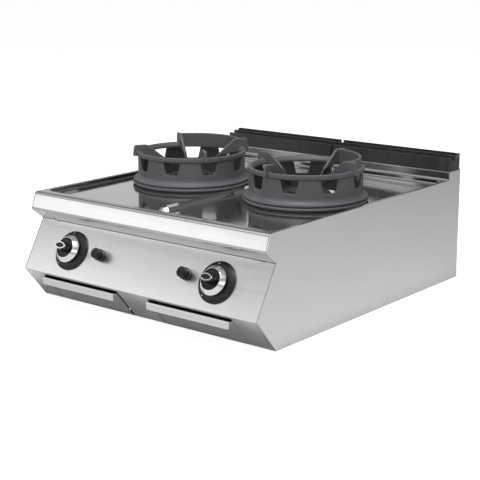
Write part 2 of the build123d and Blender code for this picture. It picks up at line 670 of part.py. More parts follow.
# Burner ring: cast crown with ports round its edge, seated on the body, open in the middle
# for the loose cap.
CAP_HOLE_R = 40.0
PORT_COUNT = 30
PORT_LENGTH = 12.0
PORT_WIDTH = 3.0
PORT_DEPTH = 9.0
CROWN_TOP_Z = 300.0
CROWN_EDGE_Z = 290.0
CROWN_LAND_R = 64.0
CROWN_WALL_R = 58.0
CROWN_ROOF = 6.0

for hand, side in HANDS:
    with BuildPart() as burner_ring:
        with BuildSketch(burner_section(side)):
            with BuildLine():
                Polyline(
                    (CROWN_WALL_R, SEAT_Z), (CHAMBER_R, SEAT_Z), (CHAMBER_R, CROWN_EDGE_Z),
                    (CROWN_LAND_R, CROWN_TOP_Z), (CAP_HOLE_R, CROWN_TOP_Z),
                    (CAP_HOLE_R, CROWN_TOP_Z - CROWN_ROOF), (CROWN_WALL_R, CROWN_TOP_Z - CROWN_ROOF),
                    close=True,
                )
            make_face()
        revolve(axis=burner_axis(side))
        with BuildSketch(Plane.XY.offset(CROWN_TOP_Z)):
            with Locations((side * BURNER_X, BURNER_Y)):
                with PolarLocations((CROWN_LAND_R + CHAMBER_R) / 2, PORT_COUNT):
                    Rectangle(PORT_LENGTH, PORT_WIDTH)
        extrude(amount=-PORT_DEPTH, mode=Mode.SUBTRACT)
    burner_ring.part.label = f"burner_ring_{hand}"
    export_step(burner_ring.part, f"parts/{burner_ring.part.label}.step")

# Burner cap: a loose domed lid over the middle of the crown.
CAP_R = 47.0
CAP_PLUG_R = CAP_HOLE_R - 0.4
CAP_RISE = 6.0
CAP_LOW_Z = 292.0
CAP_RIM_Z = CROWN_TOP_Z + 3.0
CAP_DOME_R = (CAP_R ** 2 + CAP_RISE ** 2) / (2 * CAP_RISE)

for hand, side in HANDS:
    with BuildPart() as burner_cap:
        with BuildSketch(burner_section(side)):
            with BuildLine():
                Polyline(
                    (0, CAP_LOW_Z), (CAP_PLUG_R, CAP_LOW_Z), (CAP_PLUG_R, CROWN_TOP_Z + GAP),
                    (CAP_R, CROWN_TOP_Z + GAP), (CAP_R, CAP_RIM_Z),
                )
                RadiusArc((CAP_R, CAP_RIM_Z), (0, CAP_RIM_Z + CAP_RISE), -CAP_DOME_R)
                Line((0, CAP_RIM_Z + CAP_RISE), (0, CAP_LOW_Z))
            make_face()
        revolve(axis=burner_axis(side))
    burner_cap.part.label = f"burner_cap_{hand}"
    export_step(burner_cap.part, f"parts/{burner_cap.part.label}.step")

# Mixing tube: cast venturi from its bell mouth to the burner body's socket.
BELL_Y = -280.0
BELL_R = 22.0
BELL_RIM = 15.0           # length of the straight rim
BELL_WALL = 4.0
THROAT_Y = BELL_Y + 40.0
THROAT_R = 10.0
THROAT_WALL = 5.0
TUBE_FLANGE = 8.0         # thickness of the flange on the socket
TUBE_FLANGE_R = TUBE_R + 4.0

for hand, side in HANDS:
    tube_section = Plane(origin=(side * BURNER_X, 0, MIX_Z), x_dir=(0, 1, 0), z_dir=(1, 0, 0))
    with BuildPart() as mixing_tube:
        with BuildSketch(tube_section):
            with BuildLine():
                Polyline(
                    (BELL_Y, BELL_R), (BELL_Y + BELL_RIM, BELL_R), (THROAT_Y, THROAT_R + THROAT_WALL),
                    (SOCKET_FACE_Y - TUBE_FLANGE, TUBE_R - 1), (SOCKET_FACE_Y - TUBE_FLANGE, TUBE_FLANGE_R),
                    (SOCKET_FACE_Y, TUBE_FLANGE_R), (SOCKET_FACE_Y, TUBE_BORE_R),
                    (THROAT_Y, THROAT_R), (BELL_Y, BELL_R - BELL_WALL), close=True,
                )
            make_face()
        revolve(axis=Axis((side * BURNER_X, 0, MIX_Z), (0, 1, 0)))
    mixing_tube.part.label = f"mixing_tube_{hand}"
    export_step(mixing_tube.part, f"parts/{mixing_tube.part.label}.step")

# Air shutters: cups with side windows, clamped over the bell mouths.
SHUTTER_Y = BELL_Y - 15.0
SHUTTER_LENGTH = 27.0
WINDOW_Y = SHUTTER_Y + 8.5
WINDOW = (18.0, 11.0)
INJECTOR_R = 7.0

with BuildPart() as air_shutters:
    with BuildSketch(Plane.XZ.offset(-SHUTTER_Y)):
        with Locations((-BURNER_X, MIX_Z), (BURNER_X, MIX_Z)):
            Circle(BELL_R + SHEET)
            Circle(INJECTOR_R, mode=Mode.SUBTRACT)
    extrude(amount=-SHEET)
    with BuildSketch(Plane.XZ.offset(-SHUTTER_Y)):
        with Locations((-BURNER_X, MIX_Z), (BURNER_X, MIX_Z)):
            Circle(BELL_R + SHEET)
            Circle(BELL_R, mode=Mode.SUBTRACT)
    extrude(amount=-SHUTTER_LENGTH)
    with BuildSketch(Plane.XY.offset(MIX_Z - BELL_R - 2 * SHEET)):
        with Locations((-BURNER_X, WINDOW_Y), (BURNER_X, WINDOW_Y)):
            Rectangle(*WINDOW)
    extrude(amount=2 * BELL_R + 4 * SHEET, mode=Mode.SUBTRACT)
air_shutters.part.label = "air_shutters"
export_step(air_shutters.part, "parts/air_shutters.step")

# Injectors: brass jets, each through the middle of its air shutter.
INJECTOR_TIP = 6.0        # length past the shutter's face, and of the jet
INJECTOR_HEAD_R = 10.0
INJECTOR_HEAD_Y = SHUTTER_Y - 6.0
INJECTOR_REAR_Y = SHUTTER_Y + INJECTOR_TIP
INJECTOR_FRONT_Y = SHUTTER_Y - 24.0
JET_R = 1.4
FEED_BORE_R = 3.0

for hand, side in HANDS:
    jet_section = Plane(origin=(side * BURNER_X, 0, MIX_Z), x_dir=(0, 1, 0), z_dir=(1, 0, 0))
    with BuildPart() as injector:
        with BuildSketch(jet_section):
            with BuildLine():
                Polyline(
                    (INJECTOR_FRONT_Y, FEED_BORE_R), (INJECTOR_FRONT_Y, INJECTOR_HEAD_R),
                    (INJECTOR_HEAD_Y, INJECTOR_HEAD_R), (INJECTOR_HEAD_Y, INJECTOR_R),
                    (INJECTOR_REAR_Y, INJECTOR_R), (INJECTOR_REAR_Y, JET_R),
                    (INJECTOR_REAR_Y - INJECTOR_TIP, FEED_BORE_R), close=True,
                )
            make_face()
        revolve(axis=Axis((side * BURNER_X, 0, MIX_Z), (0, 1, 0)))
    injector.part.label = f"injector_{hand}"
    export_step(injector.part, f"parts/{injector.part.label}.step")

# Pilot burners, thermocouples and ignition electrodes stand in the spill bowls' holes.
PILOT_LOW_Z = 246.0
PILOT_HEAD_Z = 294.0
PILOT_HEAD_R = 8.0
PILOT_TOP_Z = 304.0
PROBE_LOW_Z = 228.0
PROBE_LENGTH = 70.0
CERAMIC_LOW_Z = 232.0
CERAMIC_LENGTH = 54.0
WIRE_LOW_Z = 222.0
WIRE_LENGTH = 78.0
WIRE_R = 1.2

with BuildPart() as pilot_burners:
    for hand, side in HANDS:
        with BuildSketch(Plane.XY.offset(PILOT_LOW_Z)):
            with Locations(service_point(side, PILOT_ANGLE)):
                Circle(PILOT_R)
                Circle(PILOT_R - 2, mode=Mode.SUBTRACT)
        extrude(amount=PILOT_HEAD_Z - PILOT_LOW_Z + 1)
        with BuildSketch(Plane.XY.offset(PILOT_HEAD_Z)):
            with Locations(service_point(side, PILOT_ANGLE)):
                Circle(PILOT_HEAD_R)
                Circle(PILOT_R - 1, mode=Mode.SUBTRACT)
        extrude(amount=PILOT_TOP_Z - PILOT_HEAD_Z)
pilot_burners.part.label = "pilot_burners"
export_step(pilot_burners.part, "parts/pilot_burners.step")

with BuildPart() as thermocouples:
    for hand, side in HANDS:
        with BuildSketch(Plane.XY.offset(PROBE_LOW_Z)):
            with Locations(service_point(side, PROBE_ANGLE)):
                Circle(PROBE_R)
        extrude(amount=PROBE_LENGTH)
        fillet(thermocouples.edges().group_by(Axis.Z)[-1], radius=PROBE_R * 0.8)
thermocouples.part.label = "thermocouples"
export_step(thermocouples.part, "parts/thermocouples.step")

with BuildPart() as ignition_electrodes:
    for hand, side in HANDS:
        with BuildSketch(Plane.XY.offset(CERAMIC_LOW_Z)):
            with Locations(service_point(side, SPARK_ANGLE)):
                Circle(SPARK_R)
        extrude(amount=CERAMIC_LENGTH)
        with BuildSketch(Plane.XY.offset(WIRE_LOW_Z)):
            with Locations(service_point(side, SPARK_ANGLE)):
                Circle(WIRE_R)
        extrude(amount=WIRE_LENGTH)
ignition_electrodes.part.label = "ignition_electrodes"
export_step(ignition_electrodes.part, "parts/ignition_electrodes.step")

# ---------------------------------------------------------------- gas train
# Manifold: a pipe across the front, bent back to the inlet, with a flat boss per tap.
MANIFOLD_END_X = -290.0
INLET_REAR_Y = REAR_Y + REAR_LIP
INLET_FRONT_Y = INLET_REAR_Y - 25.0
TAP_REAR = -52.0
FEED_R = 4.0
BOSS_WIDTH = 26.0
MANIFOLD_BEND_R = 40.0
PLUG_LENGTH = 8.0         # plug that closes the manifold's blind end
PLUG_R = 13.65

with BuildPart() as gas_manifold:
    with BuildLine() as manifold_route:
        FilletPolyline(
            (MANIFOLD_END_X, MANIFOLD_CENTRE.Y, MANIFOLD_CENTRE.Z),
            (INLET_X, MANIFOLD_CENTRE.Y, MANIFOLD_CENTRE.Z),
            (INLET_X, INLET_FRONT_Y, MANIFOLD_CENTRE.Z),
            radius=MANIFOLD_BEND_R,
        )
    with BuildSketch(Plane.YZ.offset(MANIFOLD_END_X)):
        with Locations((MANIFOLD_CENTRE.Y, MANIFOLD_CENTRE.Z)):
            Circle(MANIFOLD_R)
    sweep(path=manifold_route.line)
    for x in (-KNOB_X, KNOB_X):
        with BuildSketch(panel_at(x, TAP_REAR)):
            Rectangle(BOSS_WIDTH, BOSS_WIDTH)
        extrude(amount=-2 * (MANIFOLD_DEPTH + TAP_REAR))
    with BuildSketch(Plane.YZ.offset(MANIFOLD_END_X)):
        with Locations((MANIFOLD_CENTRE.Y, MANIFOLD_CENTRE.Z)):
            Circle(MANIFOLD_BORE_R)
    sweep(path=manifold_route.line, mode=Mode.SUBTRACT)
    with BuildSketch(Plane.YZ.offset(MANIFOLD_END_X - PLUG_LENGTH / 2)):
        with Locations((MANIFOLD_CENTRE.Y, MANIFOLD_CENTRE.Z)):
            Circle(PLUG_R)
    extrude(amount=PLUG_LENGTH)
    for x in (-KNOB_X, KNOB_X):
        with BuildSketch(panel_at(x, TAP_REAR)):
            Circle(FEED_R)
        extrude(amount=-(MANIFOLD_DEPTH + TAP_REAR), mode=Mode.SUBTRACT)
gas_manifold.part.label = "gas_manifold"
export_step(gas_manifold.part, "parts/gas_manifold.step")

# Gas inlet: threaded socket in the back panel, soldered to the manifold's end.
with BuildPart() as gas_inlet:
    with BuildSketch(Plane.XZ.offset(-INLET_REAR_Y)):
        with Locations((INLET_X, MANIFOLD_CENTRE.Z)):
            Circle(INLET_R)
            Circle(INLET_THREAD_R, mode=Mode.SUBTRACT)
    extrude(amount=INLET_THREAD_LENGTH)
    with BuildSketch(Plane.XZ.offset(-INLET_REAR_Y + INLET_THREAD_LENGTH)):
        with Locations((INLET_X, MANIFOLD_CENTRE.Z)):
            Circle(INLET_R)
            Circle(MANIFOLD_BORE_R, mode=Mode.SUBTRACT)
    extrude(amount=INLET_REAR_Y - INLET_FRONT_Y - INLET_THREAD_LENGTH)
gas_inlet.part.label = "gas_inlet"
export_step(gas_inlet.part, "parts/gas_inlet.step")

# Gas taps: brass bodies on the manifold's bosses, bored for the spindle, with an
# outlet on the upper side for the feed pipe.
TAP_FRONT = -15.0
TAP_R = 14.0
TAP_BORE_DEPTH = 31.0
OUTLET_DEPTH = -32.0
OUTLET_R = 7.0
OUTLET_REACH = 20.0
RUN_CLEARANCE = 0.1       # between a spindle and what it turns in

for hand, side in HANDS:
    x = side * KNOB_X
    outlet = panel_at(x, OUTLET_DEPTH)
    upward = Plane(origin=outlet.origin, x_dir=(1, 0, 0), z_dir=outlet.y_dir)
    with BuildPart() as gas_tap:
        with BuildSketch(panel_at(x, TAP_REAR)):
            Circle(TAP_R)
        extrude(amount=TAP_FRONT - TAP_REAR)
        with BuildSketch(upward):
            Circle(OUTLET_R)
        extrude(amount=OUTLET_REACH)
        with BuildSketch(panel_at(x, TAP_FRONT)):
            Circle(SPINDLE_R + RUN_CLEARANCE)
        extrude(amount=-TAP_BORE_DEPTH, mode=Mode.SUBTRACT)
    gas_tap.part.label = f"gas_tap_{hand}"
    export_step(gas_tap.part, f"parts/{gas_tap.part.label}.step")

# Feed pipes: from each tap's outlet, up and back to its injector.
FEED_RISE = 42.0
FEED_LEAD = 24.0
FEED_BEND_R = 12.0

with BuildPart() as burner_feed_pipes:
    for hand, side in HANDS:
        outlet = panel_at(side * KNOB_X, OUTLET_DEPTH)
        start = outlet.origin + outlet.y_dir * OUTLET_REACH
        rise = outlet.origin + outlet.y_dir * (OUTLET_REACH + FEED_RISE)
        upward = Plane(origin=start, x_dir=(1, 0, 0), z_dir=outlet.y_dir)
        with BuildLine():
            FilletPolyline(
                start, rise, (side * BURNER_X, INJECTOR_FRONT_Y - FEED_LEAD, MIX_Z),
                (side * BURNER_X, INJECTOR_FRONT_Y, MIX_Z), radius=FEED_BEND_R,
            )
        with BuildSketch(upward):
            Circle(FEED_R)
            Circle(FEED_R - 1, mode=Mode.SUBTRACT)
        sweep()
burner_feed_pipes.part.label = "burner_feed_pipes"
export_step(burner_feed_pipes.part, "parts/burner_feed_pipes.step")

# ---------------------------------------------------------------- knobs
# Along the panel's normal, from the back: the spring cup that gives way when the knob
# is pushed, the spindle, and the knob with its bright collar and grip trim.
CUP_LOW = -11.0
CUP_TOP = -8.0
FLANGE_LOW = CUP_TOP + GAP
FLANGE_TOP = FLANGE_LOW + 2.5
SPINDLE_TAIL = -40.0
KNOB_BASE = 15.5
KNOB_FACE = 28.0
COLLAR_LOW = 14.8
COLLAR_EDGE = 18.8
COLLAR_TOP = 29.8
COLLAR_INNER_R = 27.2
COLLAR_SHEET = 1.5
TRIM_DEPTH = 1.5
TRIM_PROUD = 0.5
BEZEL_BORE_R = 8.5
BEZEL_HUB_R = 28.0
BEZEL_HUB_TOP = 11.5
BEZEL_EDGE = 3.0
BEZEL_SLOPE = ((BEZEL_R - 1.5, 5.0), (43.0, 8.6), (32.0, 10.6))
CUP_R = 11.0
SPINDLE_FLANGE_R = 8.0
SPINDLE_HEAD = KNOB_FACE - 3.0
SKIRT_INSET = 1.0         # step of the knob's skirt under the collar's edge
GRIP_FOOT = (2 * KNOB_R - 2.0, GRIP_WIDTH + 7.0)
INLAY = (GRIP_LENGTH - 0.2, GRIP_WIDTH - 0.2)
INLAY_FIELD = (GRIP_LENGTH - 10.0, GRIP_WIDTH - 6.0)

for hand, side in HANDS:
    x = side * KNOB_X
    knob_section = Plane(origin=panel_at(x).origin, x_dir=(1, 0, 0), z_dir=-PANEL.y_dir)
    knob_axis = Axis(panel_at(x).origin, PANEL.z_dir)

    with BuildPart() as knob_bezel:
        with BuildSketch(knob_section):
            with BuildLine():
                Polyline(
                    (BEZEL_BORE_R, BEZEL_HUB_TOP), (BEZEL_BORE_R, 0), (BEZEL_R, 0),
                    (BEZEL_R, BEZEL_EDGE), BEZEL_SLOPE[0],
                )
                ThreePointArc(*BEZEL_SLOPE)
                Polyline(BEZEL_SLOPE[2], (BEZEL_HUB_R, BEZEL_HUB_TOP), (BEZEL_BORE_R, BEZEL_HUB_TOP))
            make_face()
        revolve(axis=knob_axis)
    knob_bezel.part.label = f"knob_bezel_{hand}"
    export_step(knob_bezel.part, f"parts/{knob_bezel.part.label}.step")

    with BuildPart() as tap_spring_cup:
        with BuildSketch(panel_at(x, CUP_LOW)):
            Circle(CUP_R)
            Circle(SPINDLE_R + RUN_CLEARANCE, mode=Mode.SUBTRACT)
        extrude(amount=CUP_TOP - CUP_LOW)
    tap_spring_cup.part.label = f"tap_spring_cup_{hand}"
    export_step(tap_spring_cup.part, f"parts/{tap_spring_cup.part.label}.step")

    with BuildPart() as tap_spindle:
        with BuildSketch(panel_at(x, SPINDLE_TAIL)):
            Circle(SPINDLE_R)
        extrude(amount=SPINDLE_HEAD - SPINDLE_TAIL)
        with BuildSketch(panel_at(x, FLANGE_LOW)):
            Circle(SPINDLE_FLANGE_R)
        extrude(amount=FLANGE_TOP - FLANGE_LOW)
    tap_spindle.part.label = f"tap_spindle_{hand}"
    export_step(tap_spindle.part, f"parts/{tap_spindle.part.label}.step")

    with BuildPart() as knob:
        with BuildSketch(panel_at(x, KNOB_BASE)):
            Circle(COLLAR_R - COLLAR_SHEET)
        extrude(amount=COLLAR_EDGE - KNOB_BASE - SKIRT_INSET)
        with BuildSketch(panel_at(x, KNOB_BASE)):
            Circle(KNOB_R - COLLAR_SHEET)
        extrude(amount=KNOB_FACE - KNOB_BASE)
        with BuildSketch(panel_at(x, KNOB_FACE)):
            add(lens(*GRIP_FOOT))
        with BuildSketch(panel_at(x, GRIP_TOP)):
            add(lens(GRIP_LENGTH, GRIP_WIDTH))
        loft()
        with BuildSketch(panel_at(x, GRIP_TOP)):
            add(lens(*INLAY))
            add(lens(*INLAY_FIELD), mode=Mode.SUBTRACT)
        extrude(amount=-TRIM_DEPTH, mode=Mode.SUBTRACT)
        with BuildSketch(panel_at(x, KNOB_BASE)):
            Circle(SPINDLE_R)
        extrude(amount=SPINDLE_HEAD - KNOB_BASE, mode=Mode.SUBTRACT)
    knob.part.label = f"knob_{hand}"
    export_step(knob.part, f"parts/{knob.part.label}.step")

    with BuildPart() as knob_collar:
        with BuildSketch(knob_section):
            with BuildLine():
                Polyline(
                    (COLLAR_R - COLLAR_SHEET, COLLAR_LOW), (COLLAR_R, COLLAR_LOW), (COLLAR_R, COLLAR_EDGE),
                    (COLLAR_INNER_R + 1, COLLAR_TOP), (COLLAR_INNER_R, COLLAR_TOP),
                    (COLLAR_INNER_R, COLLAR_TOP - 1.8),
                    (COLLAR_R - COLLAR_SHEET, COLLAR_EDGE - SKIRT_INSET), close=True,
                )
            make_face()
        revolve(axis=knob_axis)
    knob_collar.part.label = f"knob_collar_{hand}"
    export_step(knob_collar.part, f"parts/{knob_collar.part.label}.step")

    with BuildPart() as knob_trim:
        with BuildSketch(panel_at(x, GRIP_TOP - TRIM_DEPTH)):
            add(lens(*INLAY))
            add(lens(*INLAY_FIELD), mode=Mode.SUBTRACT)
        extrude(amount=TRIM_DEPTH + TRIM_PROUD)
    knob_trim.part.label = f"knob_trim_{hand}"
    export_step(knob_trim.part, f"parts/{knob_trim.part.label}.step")

# ---------------------------------------------------------------- igniters
# Housing: ribbed collar outside the panel, threaded stem and nut behind it.
HOUSING_FLOOR = 4.0
HOUSING_TOP = 15.0
STEM_DEPTH = 36.0
STEM_BORE_R = 4.2
BUTTON_TOP = 29.0
BUTTON_LOW = HOUSING_FLOOR + PUSH_BUTTON + 1.0
PLUNGER_R = 4.1
RIB_COUNT = 20
GROOVE = (1.2, 1.6)       # between two ribs
GROOVE_LOW = 2.0
GROOVE_LENGTH = 11.0
PLUNGER_LENGTH = 38.0
BUTTON_ROUND = 3.0

for hand, side in HANDS:
    x = IGNITER_X[hand]
    with BuildPart() as igniter_housing:
        with BuildSketch(panel_at(x, 0, IGNITER_UP)):
            Circle(IGNITER_R)
        extrude(amount=HOUSING_TOP)
        with BuildSketch(panel_at(x, HOUSING_FLOOR, IGNITER_UP)):
            Circle(BUTTON_R + GAP)
        extrude(amount=HOUSING_TOP - HOUSING_FLOOR, mode=Mode.SUBTRACT)
        with BuildSketch(panel_at(x, 0, IGNITER_UP)):
            Circle(STEM_R)
        extrude(amount=-STEM_DEPTH)
        with BuildSketch(panel_at(x, -STEM_DEPTH, IGNITER_UP)):
            Circle(STEM_BORE_R)
        extrude(amount=STEM_DEPTH + HOUSING_FLOOR, mode=Mode.SUBTRACT)
        with BuildSketch(panel_at(x, GROOVE_LOW, IGNITER_UP)):
            with PolarLocations(IGNITER_R, RIB_COUNT):
                Rectangle(*GROOVE)
        extrude(amount=GROOVE_LENGTH, mode=Mode.SUBTRACT)
    igniter_housing.part.label = f"igniter_housing_{hand}"
    export_step(igniter_housing.part, f"parts/{igniter_housing.part.label}.step")

    with BuildPart() as igniter_button:
        with BuildSketch(panel_at(x, BUTTON_LOW, IGNITER_UP)):
            Circle(BUTTON_R)
        extrude(amount=BUTTON_TOP - BUTTON_LOW)
        cap_face = igniter_button.faces().sort_by(Axis(panel_at(x).origin, PANEL.z_dir))[-1]
        fillet(cap_face.edges(), radius=BUTTON_ROUND)
        with BuildSketch(panel_at(x, BUTTON_LOW, IGNITER_UP)):
            Circle(PLUNGER_R)
        extrude(amount=-PLUNGER_LENGTH)
    igniter_button.part.label = f"igniter_button_{hand}"
    export_step(igniter_button.part, f"parts/{igniter_button.part.label}.step")

NUT_THICKNESS = 6.0
NUT_R = 14.0

with BuildPart() as igniter_nuts:
    for x in IGNITER_X.values():
        with BuildSketch(panel_at(x, -SHEET, IGNITER_UP)):
            RegularPolygon(NUT_R, 6)
            Circle(STEM_R, mode=Mode.SUBTRACT)
        extrude(amount=-NUT_THICKNESS)
igniter_nuts.part.label = "igniter_nuts"
export_step(igniter_nuts.part, "parts/igniter_nuts.step")

# Fascia screws: pan heads under the rolled edge, one near each end.
SCREW_X = 349.0
SCREW_UP = 12.0
SCREW_HEAD_R = 4.5
SCREW_HEAD = 2.4

with BuildPart() as fascia_screws:
    with BuildSketch(UNDER_NOSE):
        with Locations((-SCREW_X, SCREW_UP), (SCREW_X, SCREW_UP)):
            Circle(SCREW_HEAD_R)
    extrude(amount=SCREW_HEAD)
    fillet(fascia_screws.faces().filter_by(UNDER_NOSE).group_by(Axis.Y)[0].edges(), radius=1.5)
fascia_screws.part.label = "fascia_screws"
export_step(fascia_screws.part, "parts/fascia_screws.step")

# ---------------------------------------------------------------- flue guard
# Two castings side by side on the flue box. Each has three upright blades, tied by low
# ribs and closed at its outer end by a wall with a dipped edge.
GUARD_LOW_Z = BOX_TOP_Z + GAP
GUARD_END_X = 399.5
END_WALL = 6.0
BLADES = (          # front y, thickness, top z, distance of the inner end from the middle
    (408.5, 4.0, 352.0, 2.5),
    (435.5, 4.0, 357.0, 3.5),
    (461.0, 6.0, 360.0, 5.0),
)
RIB_XS = (60.0, 200.0, 330.0)
RIB_THICKNESS = 5.0
RIB_TOP_Z = 334.0
GUARD_REAR_Y = 467.0
GUARD_CORNER_R = 6.0
END_OUTLINE = (          # (y, z, corner radius) of an end wall
    (BLADES[0][0], GUARD_LOW_Z, 0.0), (BLADES[0][0], BLADES[0][2], 4.0), (414.5, 351.0, 4.0),
    (430.5, 341.0, 8.0), (449.5, 348.0, 8.0), (458.5, BLADES[2][2], 4.0),
    (GUARD_REAR_Y, BLADES[2][2], 2.0), (GUARD_REAR_Y, GUARD_LOW_Z, 0.0),
)

for hand, side in HANDS:
    with BuildPart() as flue_guard:
        for blade_y, thickness, blade_top, inner_x in BLADES:
            with BuildSketch(Plane.XY.offset(GUARD_LOW_Z)):
                with Locations((side * (GUARD_END_X + inner_x) / 2, blade_y + thickness / 2)):
                    Rectangle(GUARD_END_X - inner_x, thickness)
            extrude(amount=blade_top - GUARD_LOW_Z)
        for rib_x in RIB_XS:
            with BuildSketch(Plane.XY.offset(GUARD_LOW_Z)):
                with Locations((side * rib_x, (BLADES[0][0] + GUARD_REAR_Y) / 2)):
                    Rectangle(RIB_THICKNESS, GUARD_REAR_Y - BLADES[0][0])
            extrude(amount=RIB_TOP_Z - GUARD_LOW_Z)
        with BuildSketch(Plane.YZ.offset(side * GUARD_END_X)):
            with BuildLine():
                FilletPolyline(
                    *[(y, z) for y, z, corner in END_OUTLINE],
                    radius=[corner for y, z, corner in END_OUTLINE], close=True,
                )
            make_face()
        extrude(amount=-side * END_WALL)
        with BuildSketch(Plane.XY.offset(GUARD_LOW_Z)):
            with Locations((0, (BLADES[0][0] + GUARD_REAR_Y) / 2)):
                RectangleRounded(2 * GUARD_END_X, GUARD_REAR_Y - BLADES[0][0], GUARD_CORNER_R)
        extrude(amount=BLADES[-1][2] - GUARD_LOW_Z, mode=Mode.INTERSECT)
    flue_guard.part.label = f"flue_guard_{hand}"
    export_step(flue_guard.part, f"parts/{flue_guard.part.label}.step")
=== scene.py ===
from math import atan2, ceil, copysign, cos, hypot, pi, radians, sin, tan

import bmesh
import bpy
from mathutils import Matrix, Vector


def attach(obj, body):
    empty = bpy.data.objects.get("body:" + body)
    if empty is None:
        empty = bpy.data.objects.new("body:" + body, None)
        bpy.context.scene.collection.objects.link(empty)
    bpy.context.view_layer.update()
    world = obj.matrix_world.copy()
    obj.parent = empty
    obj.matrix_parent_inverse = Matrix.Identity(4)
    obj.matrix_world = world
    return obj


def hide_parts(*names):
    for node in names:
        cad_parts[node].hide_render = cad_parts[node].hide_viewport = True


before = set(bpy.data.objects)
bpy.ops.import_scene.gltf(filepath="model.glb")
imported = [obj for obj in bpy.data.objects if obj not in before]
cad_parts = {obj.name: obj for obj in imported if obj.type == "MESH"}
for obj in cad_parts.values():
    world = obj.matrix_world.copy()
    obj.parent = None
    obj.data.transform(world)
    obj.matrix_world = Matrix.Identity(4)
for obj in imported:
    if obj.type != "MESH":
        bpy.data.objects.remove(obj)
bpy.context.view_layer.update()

scene = bpy.context.scene
scene.view_settings.view_transform = "Standard"

# ================================================================ casing sheets
# Side panels, control panel, raked apron, back panel and flue box: 2 mm stainless sheet,
# cut, folded on a press brake and welded, then satin brushed. The grain of the side
# panels runs front to back, that of the other sheets from side to side.
MM = 0.001
SAME_SPOT = 0.002 * MM     # corners nearer to each other than this are one
FLAT_ANGLE = radians(0.5)  # faces that meet at less than this are one
FOLD_ANGLE = radians(25)   # a sharper edge than this is eased
SHEET_EASE = 0.35 * MM     # what deburring leaves of a cut edge
SHEET_END_X = 398.0        # where the cross sheets meet the side panels
END_SEAM = 1.3             # how far the seam there stands open
GRAIN_LONG = 6.6           # brushing scratches per metre, end to end
GRAIN_FINE = 830.0         # and side by side


def linear(hex_colour):
    """Linear RGBA of an sRGB colour written in hex."""
    channels = [int(hex_colour[i:i + 2], 16) / 255 for i in (1, 3, 5)]
    return tuple(
        c / 12.92 if c <= 0.04045 else ((c + 0.055) / 1.055) ** 2.4 for c in channels
    ) + (1.0,)


def add_node(tree, kind, inputs=None, **settings):
    """Adds a node, makes its settings, and sets or links its inputs."""
    node = tree.nodes.new(kind)
    for name, value in settings.items():
        setattr(node, name, value)
    for name, value in (inputs or {}).items():
        if isinstance(value, bpy.types.NodeSocket):
            tree.links.new(value, node.inputs[name])
        else:
            node.inputs[name].default_value = value
    return node


def empty_finish(name):
    """A material with no nodes yet, and its tree."""
    finish = bpy.data.materials.new(name)
    finish.use_nodes = True
    finish.node_tree.nodes.clear()
    return finish, finish.node_tree


def brushed_sheet(name, stretch):
    """Satin brushed stainless: a soft grey mirror whose fine scratches run one way."""
    finish, tree = empty_finish(name)
    place = add_node(tree, "ShaderNodeTexCoord").outputs["Object"]
    # real scratches are about 0.1 mm apart; drawn 1.2 mm apart and 150 mm long so that they show
    along = add_node(tree, "ShaderNodeMapping", {"Vector": place, "Scale": stretch}).outputs[0]
    scratches = add_node(tree, "ShaderNodeTexNoise", {
        "Vector": along, "Scale": 1.0, "Detail": 4.0, "Roughness": 0.6}).outputs["Fac"]
    handling = add_node(tree, "ShaderNodeTexNoise", {
        "Vector": place, "Scale": 5.0, "Detail": 3.0, "Roughness": 0.5}).outputs["Fac"]
    tone = add_node(tree, "ShaderNodeMix", {
        "Factor": handling, "A": linear("#d4d4d4"), "B": linear("#dadad9")}, data_type="RGBA")
    grain_tone = add_node(tree, "ShaderNodeMix", {
        "Factor": scratches, "A": linear("#ececec"), "B": linear("#ffffff")}, data_type="RGBA")
    colour = add_node(tree, "ShaderNodeMix", {
        "Factor": 1.0, "A": tone.outputs["Result"], "B": grain_tone.outputs["Result"],
    }, data_type="RGBA", blend_type="MULTIPLY")
    gloss = add_node(tree, "ShaderNodeMapRange", {
        "Value": scratches, "From Min": 0.3, "From Max": 0.7, "To Min": 0.27, "To Max": 0.36})
    relief = add_node(tree, "ShaderNodeBump", {
        "Height": scratches, "Strength": 0.12, "Distance": 0.0001})
    steel = add_node(tree, "ShaderNodeBsdfPrincipled", {
        "Base Color": colour.outputs["Result"], "Metallic": 1.0,
        "Roughness": gloss.outputs["Result"], "Normal": relief.outputs["Normal"]})
    add_node(tree, "ShaderNodeOutputMaterial", {"Surface": steel.outputs["BSDF"]})
    return finish


def eased_copy(node, name, ease, finish, segments=2):
    """Copy of a CAD node with its sharp edges rounded off."""
    form = bmesh.new()
    form.from_mesh(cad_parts[node].data)
    bmesh.ops.remove_doubles(form, verts=form.verts, dist=SAME_SPOT)
    bmesh.ops.dissolve_limit(form, angle_limit=FLAT_ANGLE, verts=form.verts, edges=form.edges)
    mesh = bpy.data.meshes.new(name)
    form.to_mesh(mesh)
    form.free()
    for layer in [a for a in mesh.attributes if a.name == "custom_normal"]:
        mesh.attributes.remove(layer)
    mesh.shade_smooth()
    piece = bpy.data.objects.new(name, mesh)
    scene.collection.objects.link(piece)
    rounding = piece.modifiers.new("eased edges", "BEVEL")
    rounding.width = ease
    rounding.segments = segments
    rounding.limit_method = "ANGLE"
    rounding.angle_limit = FOLD_ANGLE
    rounding.harden_normals = True
    eased = piece.evaluated_get(bpy.context.evaluated_depsgraph_get())
    piece.data = bpy.data.meshes.new_from_object(eased)
    piece.modifiers.clear()
    piece.data.materials.clear()
    piece.data.materials.append(finish)
    return piece


def open_end_seams(sheet):
    """Draws in the ends of a sheet that butts against the side panels, which leaves a seam."""
    for corner in sheet.data.vertices:
        if abs(corner.co.x) > (SHEET_END_X - SHEET_EASE / MM - END_SEAM) * MM:
            corner.co.x -= copysign(END_SEAM * MM, corner.co.x)


